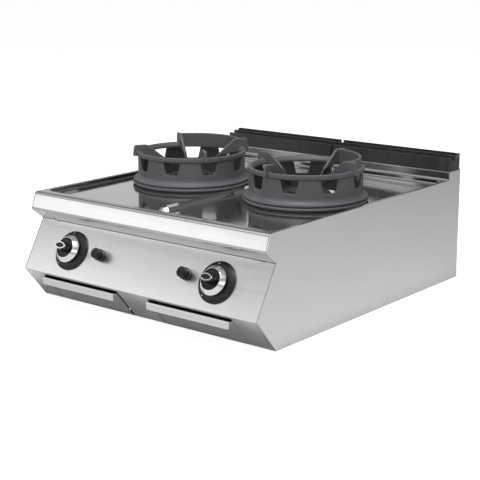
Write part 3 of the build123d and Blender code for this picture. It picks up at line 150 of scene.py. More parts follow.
grain_across = brushed_sheet(
    "stainless_brushed_side_to_side", (GRAIN_LONG, GRAIN_FINE, GRAIN_FINE))
grain_deep = brushed_sheet(
    "stainless_brushed_front_to_back", (GRAIN_FINE, GRAIN_LONG, GRAIN_FINE))

for node, finish in (
    ("left_side_panel", grain_deep), ("right_side_panel", grain_deep),
    ("control_panel", grain_across), ("apron_panel", grain_across),
    ("back_panel", grain_across), ("flue_duct", grain_across),
):
    sheet = eased_copy(node, f"{node}_sheet", SHEET_EASE, finish)
    if finish is grain_across:
        open_end_seams(sheet)
    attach(sheet, "casing")
    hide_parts(node)

# ================================================================ hob top
# One sheet of stainless, deep drawn into a shallow well with a folded ridge and two
# burner holes with raised collars. The front edge is rolled over. The well is bright
# polished, so that it mirrors the castings that stand in it.
HOB_EASE = 0.5 * MM
WELL_FRONT_Y = -382.5
WELL_REAR_Y = 400.0
RIM_Z = 288.5              # where the rounded edge of the well meets the flat rim
SATIN_OVER_POLISH = 0.13   # how much rougher the unpolished parts are
UPSTAND_SHADE_REACH = 100.0         # how far in front of the upstand the painted shade reaches into the well
UPSTAND_SHADE_LEFT = 0.55         # share of the tone that the painted shade leaves at the upstand

hob_finish, tree = empty_finish("stainless_drawn_bright_polished")
place = add_node(tree, "ShaderNodeTexCoord").outputs["Object"]
# polishing lines, really about 0.1 mm apart, drawn 2 mm apart
along = add_node(tree, "ShaderNodeMapping", {
    "Vector": place, "Scale": (5.0, 500.0, 500.0)}).outputs[0]
lines = add_node(tree, "ShaderNodeTexNoise", {
    "Vector": along, "Scale": 1.0, "Detail": 3.0}).outputs["Fac"]
# slow waves of about 70 mm that deep drawing leaves in the sheet
drawn = add_node(tree, "ShaderNodeTexNoise", {
    "Vector": place, "Scale": 14.0, "Detail": 1.0}).outputs["Fac"]
polish = add_node(tree, "ShaderNodeMapRange", {
    "Value": lines, "From Min": 0.3, "From Max": 0.7, "To Min": 0.07, "To Max": 0.13})
# only the well is polished: the rolled front edge, the rim and the upstand stay satin
spot = add_node(tree, "ShaderNodeSeparateXYZ", {"Vector": place}).outputs
at_front = add_node(tree, "ShaderNodeMath", {
    0: spot["Y"], 1: WELL_FRONT_Y * MM}, operation="LESS_THAN")
at_back = add_node(tree, "ShaderNodeMath", {
    0: spot["Y"], 1: WELL_REAR_Y * MM}, operation="GREATER_THAN")
above = add_node(tree, "ShaderNodeMath", {
    0: spot["Z"], 1: RIM_Z * MM}, operation="GREATER_THAN")
outside = add_node(tree, "ShaderNodeMath", {
    0: at_front.outputs[0], 1: at_back.outputs[0]}, operation="MAXIMUM")
satin = add_node(tree, "ShaderNodeMath", {
    0: outside.outputs[0], 1: above.outputs[0]}, operation="MAXIMUM")
gloss = add_node(tree, "ShaderNodeMath", {
    0: satin.outputs[0], 1: SATIN_OVER_POLISH, 2: polish.outputs["Result"],
}, operation="MULTIPLY_ADD")
waviness = add_node(tree, "ShaderNodeBump", {
    "Height": drawn, "Strength": 0.012, "Distance": 0.002})
relief = add_node(tree, "ShaderNodeBump", {
    "Height": lines, "Strength": 0.008, "Distance": 0.0001,
    "Normal": waviness.outputs["Normal"]})
tone = add_node(tree, "ShaderNodeMix", {
    "Factor": drawn, "A": linear("#b9b9b9"), "B": linear("#c0c0c0")}, data_type="RGBA")
# painted shade: the tone darkens over the back of the well towards the upstand, and the upstand
# itself keeps that darker tone
upstand_shade = add_node(tree, "ShaderNodeMapRange", {
    "Value": spot["Y"], "From Min": (WELL_REAR_Y - UPSTAND_SHADE_REACH) * MM,
    "From Max": WELL_REAR_Y * MM, "To Min": 1.0, "To Max": UPSTAND_SHADE_LEFT})
colour = add_node(tree, "ShaderNodeMix", {
    "Factor": 1.0, "A": tone.outputs["Result"], "B": upstand_shade.outputs["Result"],
}, data_type="RGBA", blend_type="MULTIPLY")
steel = add_node(tree, "ShaderNodeBsdfPrincipled", {
    "Base Color": colour.outputs["Result"], "Metallic": 1.0,
    "Roughness": gloss.outputs[0], "Normal": relief.outputs["Normal"]})
add_node(tree, "ShaderNodeOutputMaterial", {"Surface": steel.outputs["BSDF"]})

hob = eased_copy("hob_top", "hob_pressing", HOB_EASE, hob_finish)
open_end_seams(hob)
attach(hob, "casing")
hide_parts("hob_top")

# ================================================================ rails, runners and pipes
# What carries the drawers and burners inside the casing, and the gas manifold with its
# feed pipes: hot-dip galvanised steel, with the leafy crystals that zinc leaves.
galvanised, tree = empty_finish("steel_hot_dip_galvanised")
place = add_node(tree, "ShaderNodeTexCoord").outputs["Object"]
# spangles about 8 mm across
leaf = add_node(tree, "ShaderNodeTexVoronoi", {"Vector": place, "Scale": 125.0}).outputs["Color"]
shade = add_node(tree, "ShaderNodeSeparateColor", {"Color": leaf}).outputs["Red"]
tone = add_node(tree, "ShaderNodeMix", {
    "Factor": shade, "A": linear("#a9abad"), "B": linear("#c2c3c4")}, data_type="RGBA")
gloss = add_node(tree, "ShaderNodeMapRange", {"Value": shade, "To Min": 0.38, "To Max": 0.52})
zinc = add_node(tree, "ShaderNodeBsdfPrincipled", {
    "Base Color": tone.outputs["Result"], "Metallic": 1.0, "Roughness": gloss.outputs["Result"]})
add_node(tree, "ShaderNodeOutputMaterial", {"Surface": zinc.outputs["BSDF"]})


def finish_nodes(finish, *nodes):
    """Gives carried-over CAD nodes a finish."""
    for node in nodes:
        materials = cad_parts[node].data.materials
        materials.clear()
        materials.append(finish)


finish_nodes(
    galvanised, "cross_rails", "drawer_runners", "gas_manifold", "burner_feed_pipes",
    "air_shutters",
)

# ================================================================ drip drawers
# Two loose trays under the burners. Each raked front is one folded stainless sheet whose
# top edge is turned into an upright finger lip. The tray behind is galvanised and
# spot-welded to it. The left front was cut short, which leaves a dark gap at its right.
LEFT_FACE_END_X = -64.0    # all of the left front beyond this is its right end
LEFT_FACE_SHORT = 3.0

for hand in ("left", "right"):
    tray = eased_copy(f"drip_tray_{hand}", f"tray_pressing_{hand}", SHEET_EASE, galvanised)
    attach(tray, f"drawer_{hand}")
    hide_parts(f"drip_tray_{hand}")
    front = eased_copy(f"drawer_front_{hand}", f"drawer_face_{hand}", SHEET_EASE, grain_across)
    if hand == "left":
        for corner in front.data.vertices:
            if corner.co.x > LEFT_FACE_END_X * MM:
                corner.co.x -= LEFT_FACE_SHORT * MM
    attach(front, f"drawer_{hand}")
    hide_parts(f"drawer_front_{hand}")

# ================================================================ burner skirts
# Heavy sand-cast iron rings that stand loose in the well round each burner, with a
# beaded foot and nine notches in the top edge that let the flames breathe. Blackened
# and matt, with the grain of the moulding sand on every face.
BURNER_X = 200.0
BURNER_Y = 0.5
SKIRT_NOTCHES = 9
SKIRT_FIRST_NOTCH = 10.0         # degrees from the X axis
SKIRT_WALL = (144.0, 151.0)      # bore and outside
SKIRT_WALL_Z = 308.0             # where the straight wall begins
SKIRT_RIM_Z = 357.8
NOTCH_FLOOR_Z = 322.0
NOTCH_HALF = (16.5, 24.5)        # half its width at the floor and at the rim
NOTCH_CORNER = (5.0, 2.2)        # its corners at the floor and at the rim
CAST_EDGE = 1.6                  # edges rounded by the pattern and by tumbling
FOOT_LINE = (                    # (radius, z, corner) up the outside, from the bore at the bottom
    (144.0, 277.8, 0.0), (160.5, 277.8, 0.5), (167.0, 284.0, 1.3), (165.2, 287.0, 0.8),
    (159.8, 287.6, 0.6), (159.8, 290.4, 0.6), (164.0, 291.6, 0.8), (164.3, 294.6, 1.2),
    (152.7, 296.2, 14.0), (151.0, 308.0, 0.0),
)
ARC_STEP = radians(18)           # how far an arc turns from point to point
RIM_STEP = 4.5                   # the longest face along the notched rim
WALL_FACES = 5                   # up the wall
EDGE_FACES = 3                   # round each half of the top edge
CRISP_ANGLE = radians(40)        # a sharper edge than this isn't shaded smooth
SECTOR_SEAM = 0.01 * MM          # the widest gap between sectors that is closed
BORE_SHADE_FADE = 10.0                 # how far below the rim the painted shade is full
BORE_SHADED = 0.15                    # share of the tone that the painted shade leaves

cast_iron, tree = empty_finish("iron_sand_cast_blackened")
place = add_node(tree, "ShaderNodeTexCoord").outputs["Object"]
# sand of about 0.5 mm, drawn at 1.3 mm, over lumps of 11 mm and patches of 55 mm
sand = add_node(tree, "ShaderNodeTexNoise", {
    "Vector": place, "Scale": 760.0, "Detail": 3.0, "Roughness": 0.6}).outputs["Fac"]
lumps = add_node(tree, "ShaderNodeTexNoise", {
    "Vector": place, "Scale": 90.0, "Detail": 2.0, "Roughness": 0.5}).outputs["Fac"]
patches = add_node(tree, "ShaderNodeTexNoise", {
    "Vector": place, "Scale": 18.0, "Detail": 4.0, "Roughness": 0.65}).outputs["Fac"]
height = add_node(tree, "ShaderNodeMix", {"Factor": 0.35, "A": sand, "B": lumps}).outputs[0]
tone = add_node(tree, "ShaderNodeMix", {
    "Factor": patches, "A": linear("#505154"), "B": linear("#636467")}, data_type="RGBA")
pits = add_node(tree, "ShaderNodeMapRange", {
    "Value": sand, "From Min": 0.35, "From Max": 0.6, "To Min": 0.78, "To Max": 1.0})
# painted shade: what lies within the bore of the skirts, below their rim, is darkened to a small
# share of its tone
spot = add_node(tree, "ShaderNodeSeparateXYZ", {"Vector": place}).outputs
beside = add_node(tree, "ShaderNodeMath", {0: spot["X"]}, operation="ABSOLUTE")
across = add_node(tree, "ShaderNodeMath", {
    0: beside.outputs[0], 1: BURNER_X * MM}, operation="SUBTRACT")
from_axis = add_node(tree, "ShaderNodeCombineXYZ", {"X": across.outputs[0], "Y": spot["Y"]})
reach = add_node(tree, "ShaderNodeVectorMath", {0: from_axis.outputs[0]}, operation="LENGTH")
inward = add_node(tree, "ShaderNodeMapRange", {
    "Value": reach.outputs["Value"], "From Min": SKIRT_WALL[0] * MM,
    "From Max": SKIRT_WALL[1] * MM, "To Min": BORE_SHADED, "To Max": 1.0})
bore_shade = add_node(tree, "ShaderNodeMapRange", {
    "Value": spot["Z"], "From Min": (SKIRT_RIM_Z - BORE_SHADE_FADE) * MM,
    "From Max": SKIRT_RIM_Z * MM, "To Min": inward.outputs["Result"], "To Max": 1.0})
# the darker sand pits together with the painted shade in the bore
pits_and_bore_shade = add_node(tree, "ShaderNodeMath", {
    0: pits.outputs["Result"], 1: bore_shade.outputs["Result"]}, operation="MULTIPLY")
colour = add_node(tree, "ShaderNodeMix", {
    "Factor": 1.0, "A": tone.outputs["Result"], "B": pits_and_bore_shade.outputs[0],
}, data_type="RGBA", blend_type="MULTIPLY")
gloss = add_node(tree, "ShaderNodeMapRange", {
    "Value": patches, "From Min": 0.3, "From Max": 0.7, "To Min": 0.5, "To Max": 0.66})
relief = add_node(tree, "ShaderNodeBump", {
    "Height": height, "Strength": 0.5, "Distance": 0.0005})
iron = add_node(tree, "ShaderNodeBsdfPrincipled", {
    "Base Color": colour.outputs["Result"], "Metallic": 0.0,
    "Roughness": gloss.outputs["Result"], "Normal": relief.outputs["Normal"]})
add_node(tree, "ShaderNodeOutputMaterial", {"Surface": iron.outputs["BSDF"]})


def rounded(corners, closed=False):
    """Line through (x, y, radius) corners, each turned into an arc of its radius."""
    line = []
    last = len(corners) - 1
    for index, (x, y, radius) in enumerate(corners):
        corner = Vector((x, y))
        if radius == 0 or (not closed and index in (0, last)):
            line.append(corner)
            continue
        back = (Vector(corners[index - 1][:2]) - corner).normalized()
        ahead = (Vector(corners[(index + 1) % len(corners)][:2]) - corner).normalized()
        half = back.angle(ahead) / 2
        centre = corner + (back + ahead).normalized() * radius / sin(half)
        start = corner + back * radius / tan(half) - centre
        end = corner + ahead * radius / tan(half) - centre
        turn = atan2(start.x * end.y - start.y * end.x, start.dot(end))
        steps = max(1, ceil(abs(turn) / ARC_STEP))
        line += [
            centre + Matrix.Rotation(turn * k / steps, 2) @ start for k in range(steps + 1)
        ]
    return line


def divided(line, longest):
    """The same line with its long runs divided."""
    finer = [line[0]]
    for end in line[1:]:
        start = finer[-1]
        parts = max(1, ceil((end - start).length / longest))
        finer += [start.lerp(end, k / parts) for k in range(1, parts + 1)]
    return finer


def skin(rows, closed_rows=False):
    """Surface over rows of points. Each row is a closed loop, and so may the series be."""
    form = bmesh.new()
    grid = [[form.verts.new(Vector(point) * MM) for point in row] for row in rows]
    width = len(rows[0])
    for i in range(len(rows) if closed_rows else len(rows) - 1):
        here, there = grid[i], grid[(i + 1) % len(rows)]
        for j in range(width):
            k = (j + 1) % width
            form.faces.new((here[j], here[k], there[k], there[j]))
    bmesh.ops.remove_doubles(form, verts=form.verts, dist=SAME_SPOT)
    bmesh.ops.recalc_face_normals(form, faces=form.faces)
    return form


def as_piece(form, name, finish):
    """Turns a finished surface into a smooth-shaded object."""
    mesh = bpy.data.meshes.new(name)
    form.to_mesh(mesh)
    form.free()
    mesh.shade_smooth()
    mesh.set_sharp_from_angle(angle=CRISP_ANGLE)
    mesh.materials.append(finish)
    piece = bpy.data.objects.new(name, mesh)
    scene.collection.objects.link(piece)
    return piece


def repeated_round(piece, count, first_angle, finish):
    """Repeats a sector of a ring about the Z axis with Geometry Nodes, and joins the seams."""
    tree = bpy.data.node_groups.new(f"{piece.name}_round", "GeometryNodeTree")
    for direction, kind, label in (
        ("INPUT", "Geometry", "Sector"), ("INPUT", "Int", "Count"),
        ("INPUT", "Float", "First angle"), ("INPUT", "Float", "Seam"),
        ("INPUT", "Material", "Finish"), ("OUTPUT", "Geometry", "Ring"),
    ):
        tree.interface.new_socket(label, in_out=direction, socket_type=f"NodeSocket{kind}")
    given = add_node(tree, "NodeGroupInput").outputs
    spots = add_node(tree, "GeometryNodeMeshLine", {
        "Count": given["Count"], "Offset": (0.0, 0.0, 0.0)})
    number = add_node(tree, "GeometryNodeInputIndex").outputs["Index"]
    share = add_node(tree, "ShaderNodeMath", {0: number, 1: given["Count"]}, operation="DIVIDE")
    turn = add_node(tree, "ShaderNodeMath", {
        0: share.outputs[0], 1: 2 * pi, 2: given["First angle"]}, operation="MULTIPLY_ADD")
    facing = add_node(tree, "ShaderNodeCombineXYZ", {"Z": turn.outputs[0]})
    copies = add_node(tree, "GeometryNodeInstanceOnPoints", {
        "Points": spots.outputs["Mesh"], "Instance": given["Sector"],
        "Rotation": facing.outputs[0]})
    solid = add_node(tree, "GeometryNodeRealizeInstances", {"Geometry": copies.outputs[0]})
    joined = add_node(tree, "GeometryNodeMergeByDistance", {
        "Geometry": solid.outputs[0], "Distance": given["Seam"]})
    coated = add_node(tree, "GeometryNodeSetMaterial", {
        "Geometry": joined.outputs[0], "Material": given["Finish"]})
    add_node(tree, "NodeGroupOutput", {"Ring": coated.outputs[0]})
    modifier = piece.modifiers.new("round", "NODES")
    modifier.node_group = tree
    socket = {
        item.name: item.identifier for item in tree.interface.items_tree
        if item.in_out == "INPUT"
    }
    modifier[socket["Count"]] = count
    modifier[socket["First angle"]] = radians(first_angle)
    modifier[socket["Seam"]] = SECTOR_SEAM
    modifier[socket["Finish"]] = finish
    made = piece.evaluated_get(bpy.context.evaluated_depsgraph_get())
    piece.data = bpy.data.meshes.new_from_object(made)
    piece.modifiers.clear()


def skirt_sector():
    """One ninth of a skirt, with a notch in its middle, about the Z axis."""
    bore_r, wall_r = SKIRT_WALL
    middle_r = (bore_r + wall_r) / 2
    edge = middle_r * pi / SKIRT_NOTCHES
    floor_half, rim_half = NOTCH_HALF
    floor_corner, rim_corner = NOTCH_CORNER
    rim = divided(rounded((
        (-edge, SKIRT_RIM_Z, 0), (-rim_half, SKIRT_RIM_Z, rim_corner),
        (-floor_half, NOTCH_FLOOR_Z, floor_corner), (floor_half, NOTCH_FLOOR_Z, floor_corner),
        (rim_half, SKIRT_RIM_Z, rim_corner), (edge, SKIRT_RIM_Z, 0),
    )), RIM_STEP)
    foot = rounded(FOOT_LINE)
    rows = []
    for index, point in enumerate(rim):
        along = rim[min(index + 1, len(rim) - 1)] - rim[max(index - 1, 0)]
        along.normalize()
        upward = Vector((-along.y, along.x))
        base = Vector((-edge + 2 * edge * index / (len(rim) - 1), SKIRT_WALL_Z))
        shoulder = point - upward * CAST_EDGE
        wall = [base.lerp(shoulder, k / WALL_FACES) for k in range(WALL_FACES + 1)]
        turns = [k * pi / (2 * EDGE_FACES) for k in range(EDGE_FACES + 1)]
        top = [(shoulder + upward * CAST_EDGE * sin(t), CAST_EDGE * (1 - cos(t))) for t in turns]
        row = (
            [(base.x, r, z) for r, z in foot]
            + [(at.x, wall_r, at.y) for at in wall[1:]]
            + [(at.x, wall_r - inset, at.y) for at, inset in top[1:]]
            + [(at.x, bore_r + inset, at.y) for at, inset in top[-2::-1]]
            + [(at.x, bore_r, at.y) for at in wall[-2::-1]]
        )
        rows.append([(r * cos(x / middle_r), r * sin(x / middle_r), z) for x, r, z in row])
    return skin(rows)


for hand, side in (("left", -1), ("right", 1)):
    skirt = as_piece(skirt_sector(), f"skirt_casting_{hand}", cast_iron)
    repeated_round(skirt, SKIRT_NOTCHES, SKIRT_FIRST_NOTCH, cast_iron)
    skirt.data.transform(Matrix.Translation(Vector((side * BURNER_X, BURNER_Y, 0)) * MM))
    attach(skirt, f"skirt_{hand}")
    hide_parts(f"wok_skirt_{hand}")

# ================================================================ wok rings
# Loose iron castings on the skirts: a rim band, four fins that carry the round bottom of
# a wok, and one quarter of the wall raised as a guard. The pattern's edges and inside
# corners are all rounded, which the fine remeshing and smoothing of the CAD form gives.
RING_EASE = 0.4 * MM
RING_GRAIN = 1.45 * MM     # about the size of the facets that the rounding works on
RING_SMOOTHING = 5

for hand in ("left", "right"):
    ring = eased_copy(
        f"wok_ring_{hand}", f"ring_casting_{hand}", RING_EASE, cast_iron, segments=1)
    casting = ring.modifiers.new("casting", "REMESH")
    casting.mode = "VOXEL"
    casting.voxel_size = RING_GRAIN
    casting.use_smooth_shade = True
    tumbling = ring.modifiers.new("tumbling", "SMOOTH")
    tumbling.iterations = RING_SMOOTHING
    made = ring.evaluated_get(bpy.context.evaluated_depsgraph_get())
    ring.data = bpy.data.meshes.new_from_object(made)
    ring.modifiers.clear()
    ring.data.materials.clear()
    ring.data.materials.append(cast_iron)
    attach(ring, f"ring_{hand}")
    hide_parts(f"wok_ring_{hand}")

# ================================================================ burners
# Cast-iron funnel and mixing tube under the hob, a cast-iron crown with ports round its
# edge and a loose domed cap of the same iron, all set in a bright pressed dish that
# catches spills. Injectors, pilots and taps are turned brass.
CROWN_EASE = 0.4 * MM
CAP_LINE = (                # (radius, z, corner), from the axis below to the axis above
    (0.0, 292.2, 0), (39.4, 292.2, 0.8), (39.4, 300.3, 0.4), (47.0, 300.3, 0.8),
    (47.0, 303.4, 1.2), (30.0, 307.0, 40.0), (0.0, 309.0, 0),
)
CAP_STEPS = 72


def turned(line, steps):
    """Closed surface of revolution about the Z axis of a line of (radius, z)."""
    return skin([
        [(r * cos(2 * pi * k / steps), r * sin(2 * pi * k / steps), z) for r, z in line]
        for k in range(steps)
    ], closed_rows=True)


# yellow metal, hazed brown by the heat in patches of 25 mm
brass, tree = empty_finish("brass_turned")
place = add_node(tree, "ShaderNodeTexCoord").outputs["Object"]
haze = add_node(tree, "ShaderNodeTexNoise", {
    "Vector": place, "Scale": 40.0, "Detail": 4.0, "Roughness": 0.6}).outputs["Fac"]
# tool marks round the piece, drawn 1 mm apart
marks = add_node(tree, "ShaderNodeMapping", {
    "Vector": place, "Scale": (40.0, 40.0, 1000.0)}).outputs[0]
ridges = add_node(tree, "ShaderNodeTexNoise", {
    "Vector": marks, "Scale": 1.0, "Detail": 2.0}).outputs["Fac"]
tone = add_node(tree, "ShaderNodeMix", {
    "Factor": haze, "A": linear("#a9854a"), "B": linear("#cba863")}, data_type="RGBA")
gloss = add_node(tree, "ShaderNodeMapRange", {"Value": haze, "To Min": 0.25, "To Max": 0.5})
relief = add_node(tree, "ShaderNodeBump", {
    "Height": ridges, "Strength": 0.2, "Distance": 0.0001})
metal = add_node(tree, "ShaderNodeBsdfPrincipled", {
    "Base Color": tone.outputs["Result"], "Metallic": 1.0,
    "Roughness": gloss.outputs["Result"], "Normal": relief.outputs["Normal"]})
add_node(tree, "ShaderNodeOutputMaterial", {"Surface": metal.outputs["BSDF"]})

# bright from the press, dulled by scouring in patches of 33 mm
dish_finish, tree = empty_finish("stainless_pressed_dish")
place = add_node(tree, "ShaderNodeTexCoord").outputs["Object"]
wear = add_node(tree, "ShaderNodeTexNoise", {
    "Vector": place, "Scale": 30.0, "Detail": 5.0}).outputs["Fac"]
tone = add_node(tree, "ShaderNodeMix", {
    "Factor": wear, "A": linear("#c4c3c1"), "B": linear("#d4d3d2")}, data_type="RGBA")
gloss = add_node(tree, "ShaderNodeMapRange", {"Value": wear, "To Min": 0.12, "To Max": 0.3})
metal = add_node(tree, "ShaderNodeBsdfPrincipled", {
    "Base Color": tone.outputs["Result"], "Metallic": 1.0, "Roughness": gloss.outputs["Result"]})
add_node(tree, "ShaderNodeOutputMaterial", {"Surface": metal.outputs["BSDF"]})

# creamy white and glassy, with a cast of soot in spots of 6 mm
ceramic, tree = empty_finish("ceramic_fired_white")
place = add_node(tree, "ShaderNodeTexCoord").outputs["Object"]
stains = add_node(tree, "ShaderNodeTexNoise", {
    "Vector": place, "Scale": 160.0, "Detail": 3.0}).outputs["Fac"]
tone = add_node(tree, "ShaderNodeMix", {
    "Factor": stains, "A": linear("#dcd9cf"), "B": linear("#efede6")}, data_type="RGBA")
glaze = add_node(tree, "ShaderNodeBsdfPrincipled", {
    "Base Color": tone.outputs["Result"], "Roughness": 0.3})
add_node(tree, "ShaderNodeOutputMaterial", {"Surface": glaze.outputs["BSDF"]})

# thin bluish white plating, hazed in spots of 5 mm
zinc_plate, tree = empty_finish("steel_zinc_plated")
place = add_node(tree, "ShaderNodeTexCoord").outputs["Object"]
haze = add_node(tree, "ShaderNodeTexNoise", {
    "Vector": place, "Scale": 200.0, "Detail": 3.0}).outputs["Fac"]
tone = add_node(tree, "ShaderNodeMix", {
    "Factor": haze, "A": linear("#b9bbbd"), "B": linear("#cfd0d1")}, data_type="RGBA")
gloss = add_node(tree, "ShaderNodeMapRange", {"Value": haze, "To Min": 0.22, "To Max": 0.4})
metal = add_node(tree, "ShaderNodeBsdfPrincipled", {
    "Base Color": tone.outputs["Result"], "Metallic": 1.0, "Roughness": gloss.outputs["Result"]})
add_node(tree, "ShaderNodeOutputMaterial", {"Surface": metal.outputs["BSDF"]})

for hand, side in (("left", -1), ("right", 1)):
    crown = eased_copy(f"burner_ring_{hand}", f"burner_crown_{hand}", CROWN_EASE, cast_iron)
    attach(crown, "casing")
    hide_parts(f"burner_ring_{hand}")
    cap = as_piece(turned(rounded(CAP_LINE), CAP_STEPS), f"burner_lid_{hand}", cast_iron)
    cap.data.transform(Matrix.Translation(Vector((side * BURNER_X, BURNER_Y, 0)) * MM))
    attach(cap, f"cap_{hand}")
    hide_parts(f"burner_cap_{hand}")

finish_nodes(
    cast_iron, "burner_body_left", "burner_body_right", "mixing_tube_left", "mixing_tube_right",
)
finish_nodes(
    brass, "injector_left", "injector_right", "pilot_burners", "gas_tap_left", "gas_tap_right",
    "gas_inlet",
)
finish_nodes(dish_finish, "spill_bowl_left", "spill_bowl_right")
finish_nodes(ceramic, "ignition_electrodes")
finish_nodes(
    zinc_plate, "thermocouples", "tap_spring_cup_left", "tap_spring_cup_right",
    "tap_spindle_left", "tap_spindle_right", "igniter_nuts",
)

# ================================================================ flue guard
# Two iron castings that stand side by side on the flue box. Three upright blades on low
# ribs let the hot gases out, and a wall with a dipped edge closes each outer end. They
# are coated in matt black stove enamel.
GUARD_EASE = 1.1 * MM

guard_enamel, tree = empty_finish("iron_cast_black_stove_enamelled")
place = add_node(tree, "ShaderNodeTexCoord").outputs["Object"]
# orange peel of the enamel, about 2 mm
peel = add_node(tree, "ShaderNodeTexNoise", {
    "Vector": place, "Scale": 500.0, "Detail": 2.0}).outputs["Fac"]
# marks of dust and heat down the blades, 20 mm apart and 140 mm long
down = add_node(tree, "ShaderNodeMapping", {
    "Vector": place, "Scale": (50.0, 50.0, 7.0)}).outputs[0]
runs = add_node(tree, "ShaderNodeTexNoise", {
    "Vector": down, "Scale": 1.0, "Detail": 4.0, "Roughness": 0.6}).outputs["Fac"]
tone = add_node(tree, "ShaderNodeMix", {
    "Factor": runs, "A": linear("#17171a"), "B": linear("#333335")}, data_type="RGBA")
gloss = add_node(tree, "ShaderNodeMapRange", {
    "Value": runs, "From Min": 0.3, "From Max": 0.7, "To Min": 0.36, "To Max": 0.5})
relief = add_node(tree, "ShaderNodeBump", {
    "Height": peel, "Strength": 0.2, "Distance": 0.0003})
enamel = add_node(tree, "ShaderNodeBsdfPrincipled", {
    "Base Color": tone.outputs["Result"], "Roughness": gloss.outputs["Result"],
    "Normal": relief.outputs["Normal"]})
add_node(tree, "ShaderNodeOutputMaterial", {"Surface": enamel.outputs["BSDF"]})

for hand in ("left", "right"):
    guard = eased_copy(
        f"flue_guard_{hand}", f"flue_casting_{hand}", GUARD_EASE, guard_enamel, segments=3)
    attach(guard, f"guard_{hand}")
    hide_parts(f"flue_guard_{hand}")

# ================================================================ knobs
# Push-and-turn knobs on the sloping panel. A moulded black bezel with two printed dots is
# fixed to the panel. The knob over it is moulded round a chrome-plated conical collar,
# and its grip carries a bright lens-shaped trim.
KNOB_X = 250.0
PANEL_MIDDLE = (-423.0, 150.5)   # y and z of the panel's middle line
PANEL_RUN = (73.0, 127.0)        # how far the panel goes back and up from its lower edge
BEZEL_LINE = (                   # (radius, lift off the panel, corner), a closed loop
    (8.5, 0.0, 0.2), (53.5, 0.0, 0.2), (53.5, 4.3, 1.6), (43.0, 8.6, 30.0),
    (32.0, 10.6, 18.0), (28.0, 11.5, 1.5), (8.5, 11.5, 0.5),
)
COLLAR_LINE = (
    (36.0, 14.8, 0.2), (37.5, 14.8, 0.4), (37.5, 18.8, 0.9), (28.2, 29.8, 0.4),
    (27.2, 29.8, 0.3), (27.2, 28.0, 0.3), (36.0, 17.8, 0.3),
)
DOTS = ((-7.0, 46.0, 7.2), (-28.0, -39.0, 6.6))  # beside, up and out from the knob's axis
DOT_R = 1.9
KNOB_EASE = 0.7 * MM
TRIM_EASE = 0.3 * MM
ROUND_STEPS = 96


def on_panel(x, up=0.0):
    """Turns upright local axes to stand on the sloping panel, at a place on its face."""
    return (
        Matrix.Translation(Vector((x, *PANEL_MIDDLE)) * MM)
        @ Matrix.Rotation(atan2(PANEL_RUN[1], PANEL_RUN[0]), 4, "X")
        @ Matrix.Translation((0, up * MM, 0))
    )


def moulded_black(name, low, high, gloss, dots=()):
    """Black moulding whose fine spark texture softens its gloss, with white printed dots."""
    finish, tree = empty_finish(name)
    place = add_node(tree, "ShaderNodeTexCoord").outputs["Object"]
    # spark-eroded texture of about 0.4 mm, and hand marks of about 15 mm
    grain = add_node(tree, "ShaderNodeTexNoise", {
        "Vector": place, "Scale": 2500.0, "Detail": 2.0}).outputs["Fac"]
    marks = add_node(tree, "ShaderNodeTexNoise", {
        "Vector": place, "Scale": 65.0, "Detail": 3.0}).outputs["Fac"]
    colour = add_node(tree, "ShaderNodeMix", {
        "Factor": marks, "A": linear(low), "B": linear(high)}, data_type="RGBA").outputs["Result"]
    for dot in dots:
        away = add_node(tree, "ShaderNodeVectorMath", {0: place, 1: dot}, operation="DISTANCE")
        ink = add_node(tree, "ShaderNodeMath", {
            0: away.outputs["Value"], 1: DOT_R * MM}, operation="LESS_THAN")
        colour = add_node(tree, "ShaderNodeMix", {
            "Factor": ink.outputs[0], "A": colour, "B": linear("#e9e9e6"),
        }, data_type="RGBA").outputs["Result"]
    wear = add_node(tree, "ShaderNodeMapRange", {
        "Value": marks, "From Min": 0.3, "From Max": 0.7, "To Min": gloss[0], "To Max": gloss[1]})
    relief = add_node(tree, "ShaderNodeBump", {
        "Height": grain, "Strength": 0.08, "Distance": 0.0001})
    plastic = add_node(tree, "ShaderNodeBsdfPrincipled", {
        "Base Color": colour, "Roughness": wear.outputs["Result"], "Specular IOR Level": 0.3,
        "Normal": relief.outputs["Normal"]})
    add_node(tree, "ShaderNodeOutputMaterial", {"Surface": plastic.outputs["BSDF"]})
    return finish


bezel_finish = moulded_black(
    "phenolic_moulded_black_printed", "#101011", "#1a1a1b", (0.3, 0.38),
    [on_panel(side * KNOB_X) @ (Vector(dot) * MM) for side in (-1, 1) for dot in DOTS])
knob_finish = moulded_black(
    "phenolic_moulded_black_gloss", "#0d0d0e", "#161617", (0.22, 0.32))

# a near mirror, hazed by handling in patches of 8 mm
chrome, tree = empty_finish("zinc_diecast_chrome_plated")
place = add_node(tree, "ShaderNodeTexCoord").outputs["Object"]
haze = add_node(tree, "ShaderNodeTexNoise", {
    "Vector": place, "Scale": 120.0, "Detail": 4.0}).outputs["Fac"]
tone = add_node(tree, "ShaderNodeMix", {
    "Factor": haze, "A": linear("#d4d5d7"), "B": linear("#e2e3e5")}, data_type="RGBA")
gloss = add_node(tree, "ShaderNodeMapRange", {
    "Value": haze, "From Min": 0.3, "From Max": 0.7, "To Min": 0.09, "To Max": 0.16})
metal = add_node(tree, "ShaderNodeBsdfPrincipled", {
    "Base Color": tone.outputs["Result"], "Metallic": 1.0, "Roughness": gloss.outputs["Result"]})
add_node(tree, "ShaderNodeOutputMaterial", {"Surface": metal.outputs["BSDF"]})

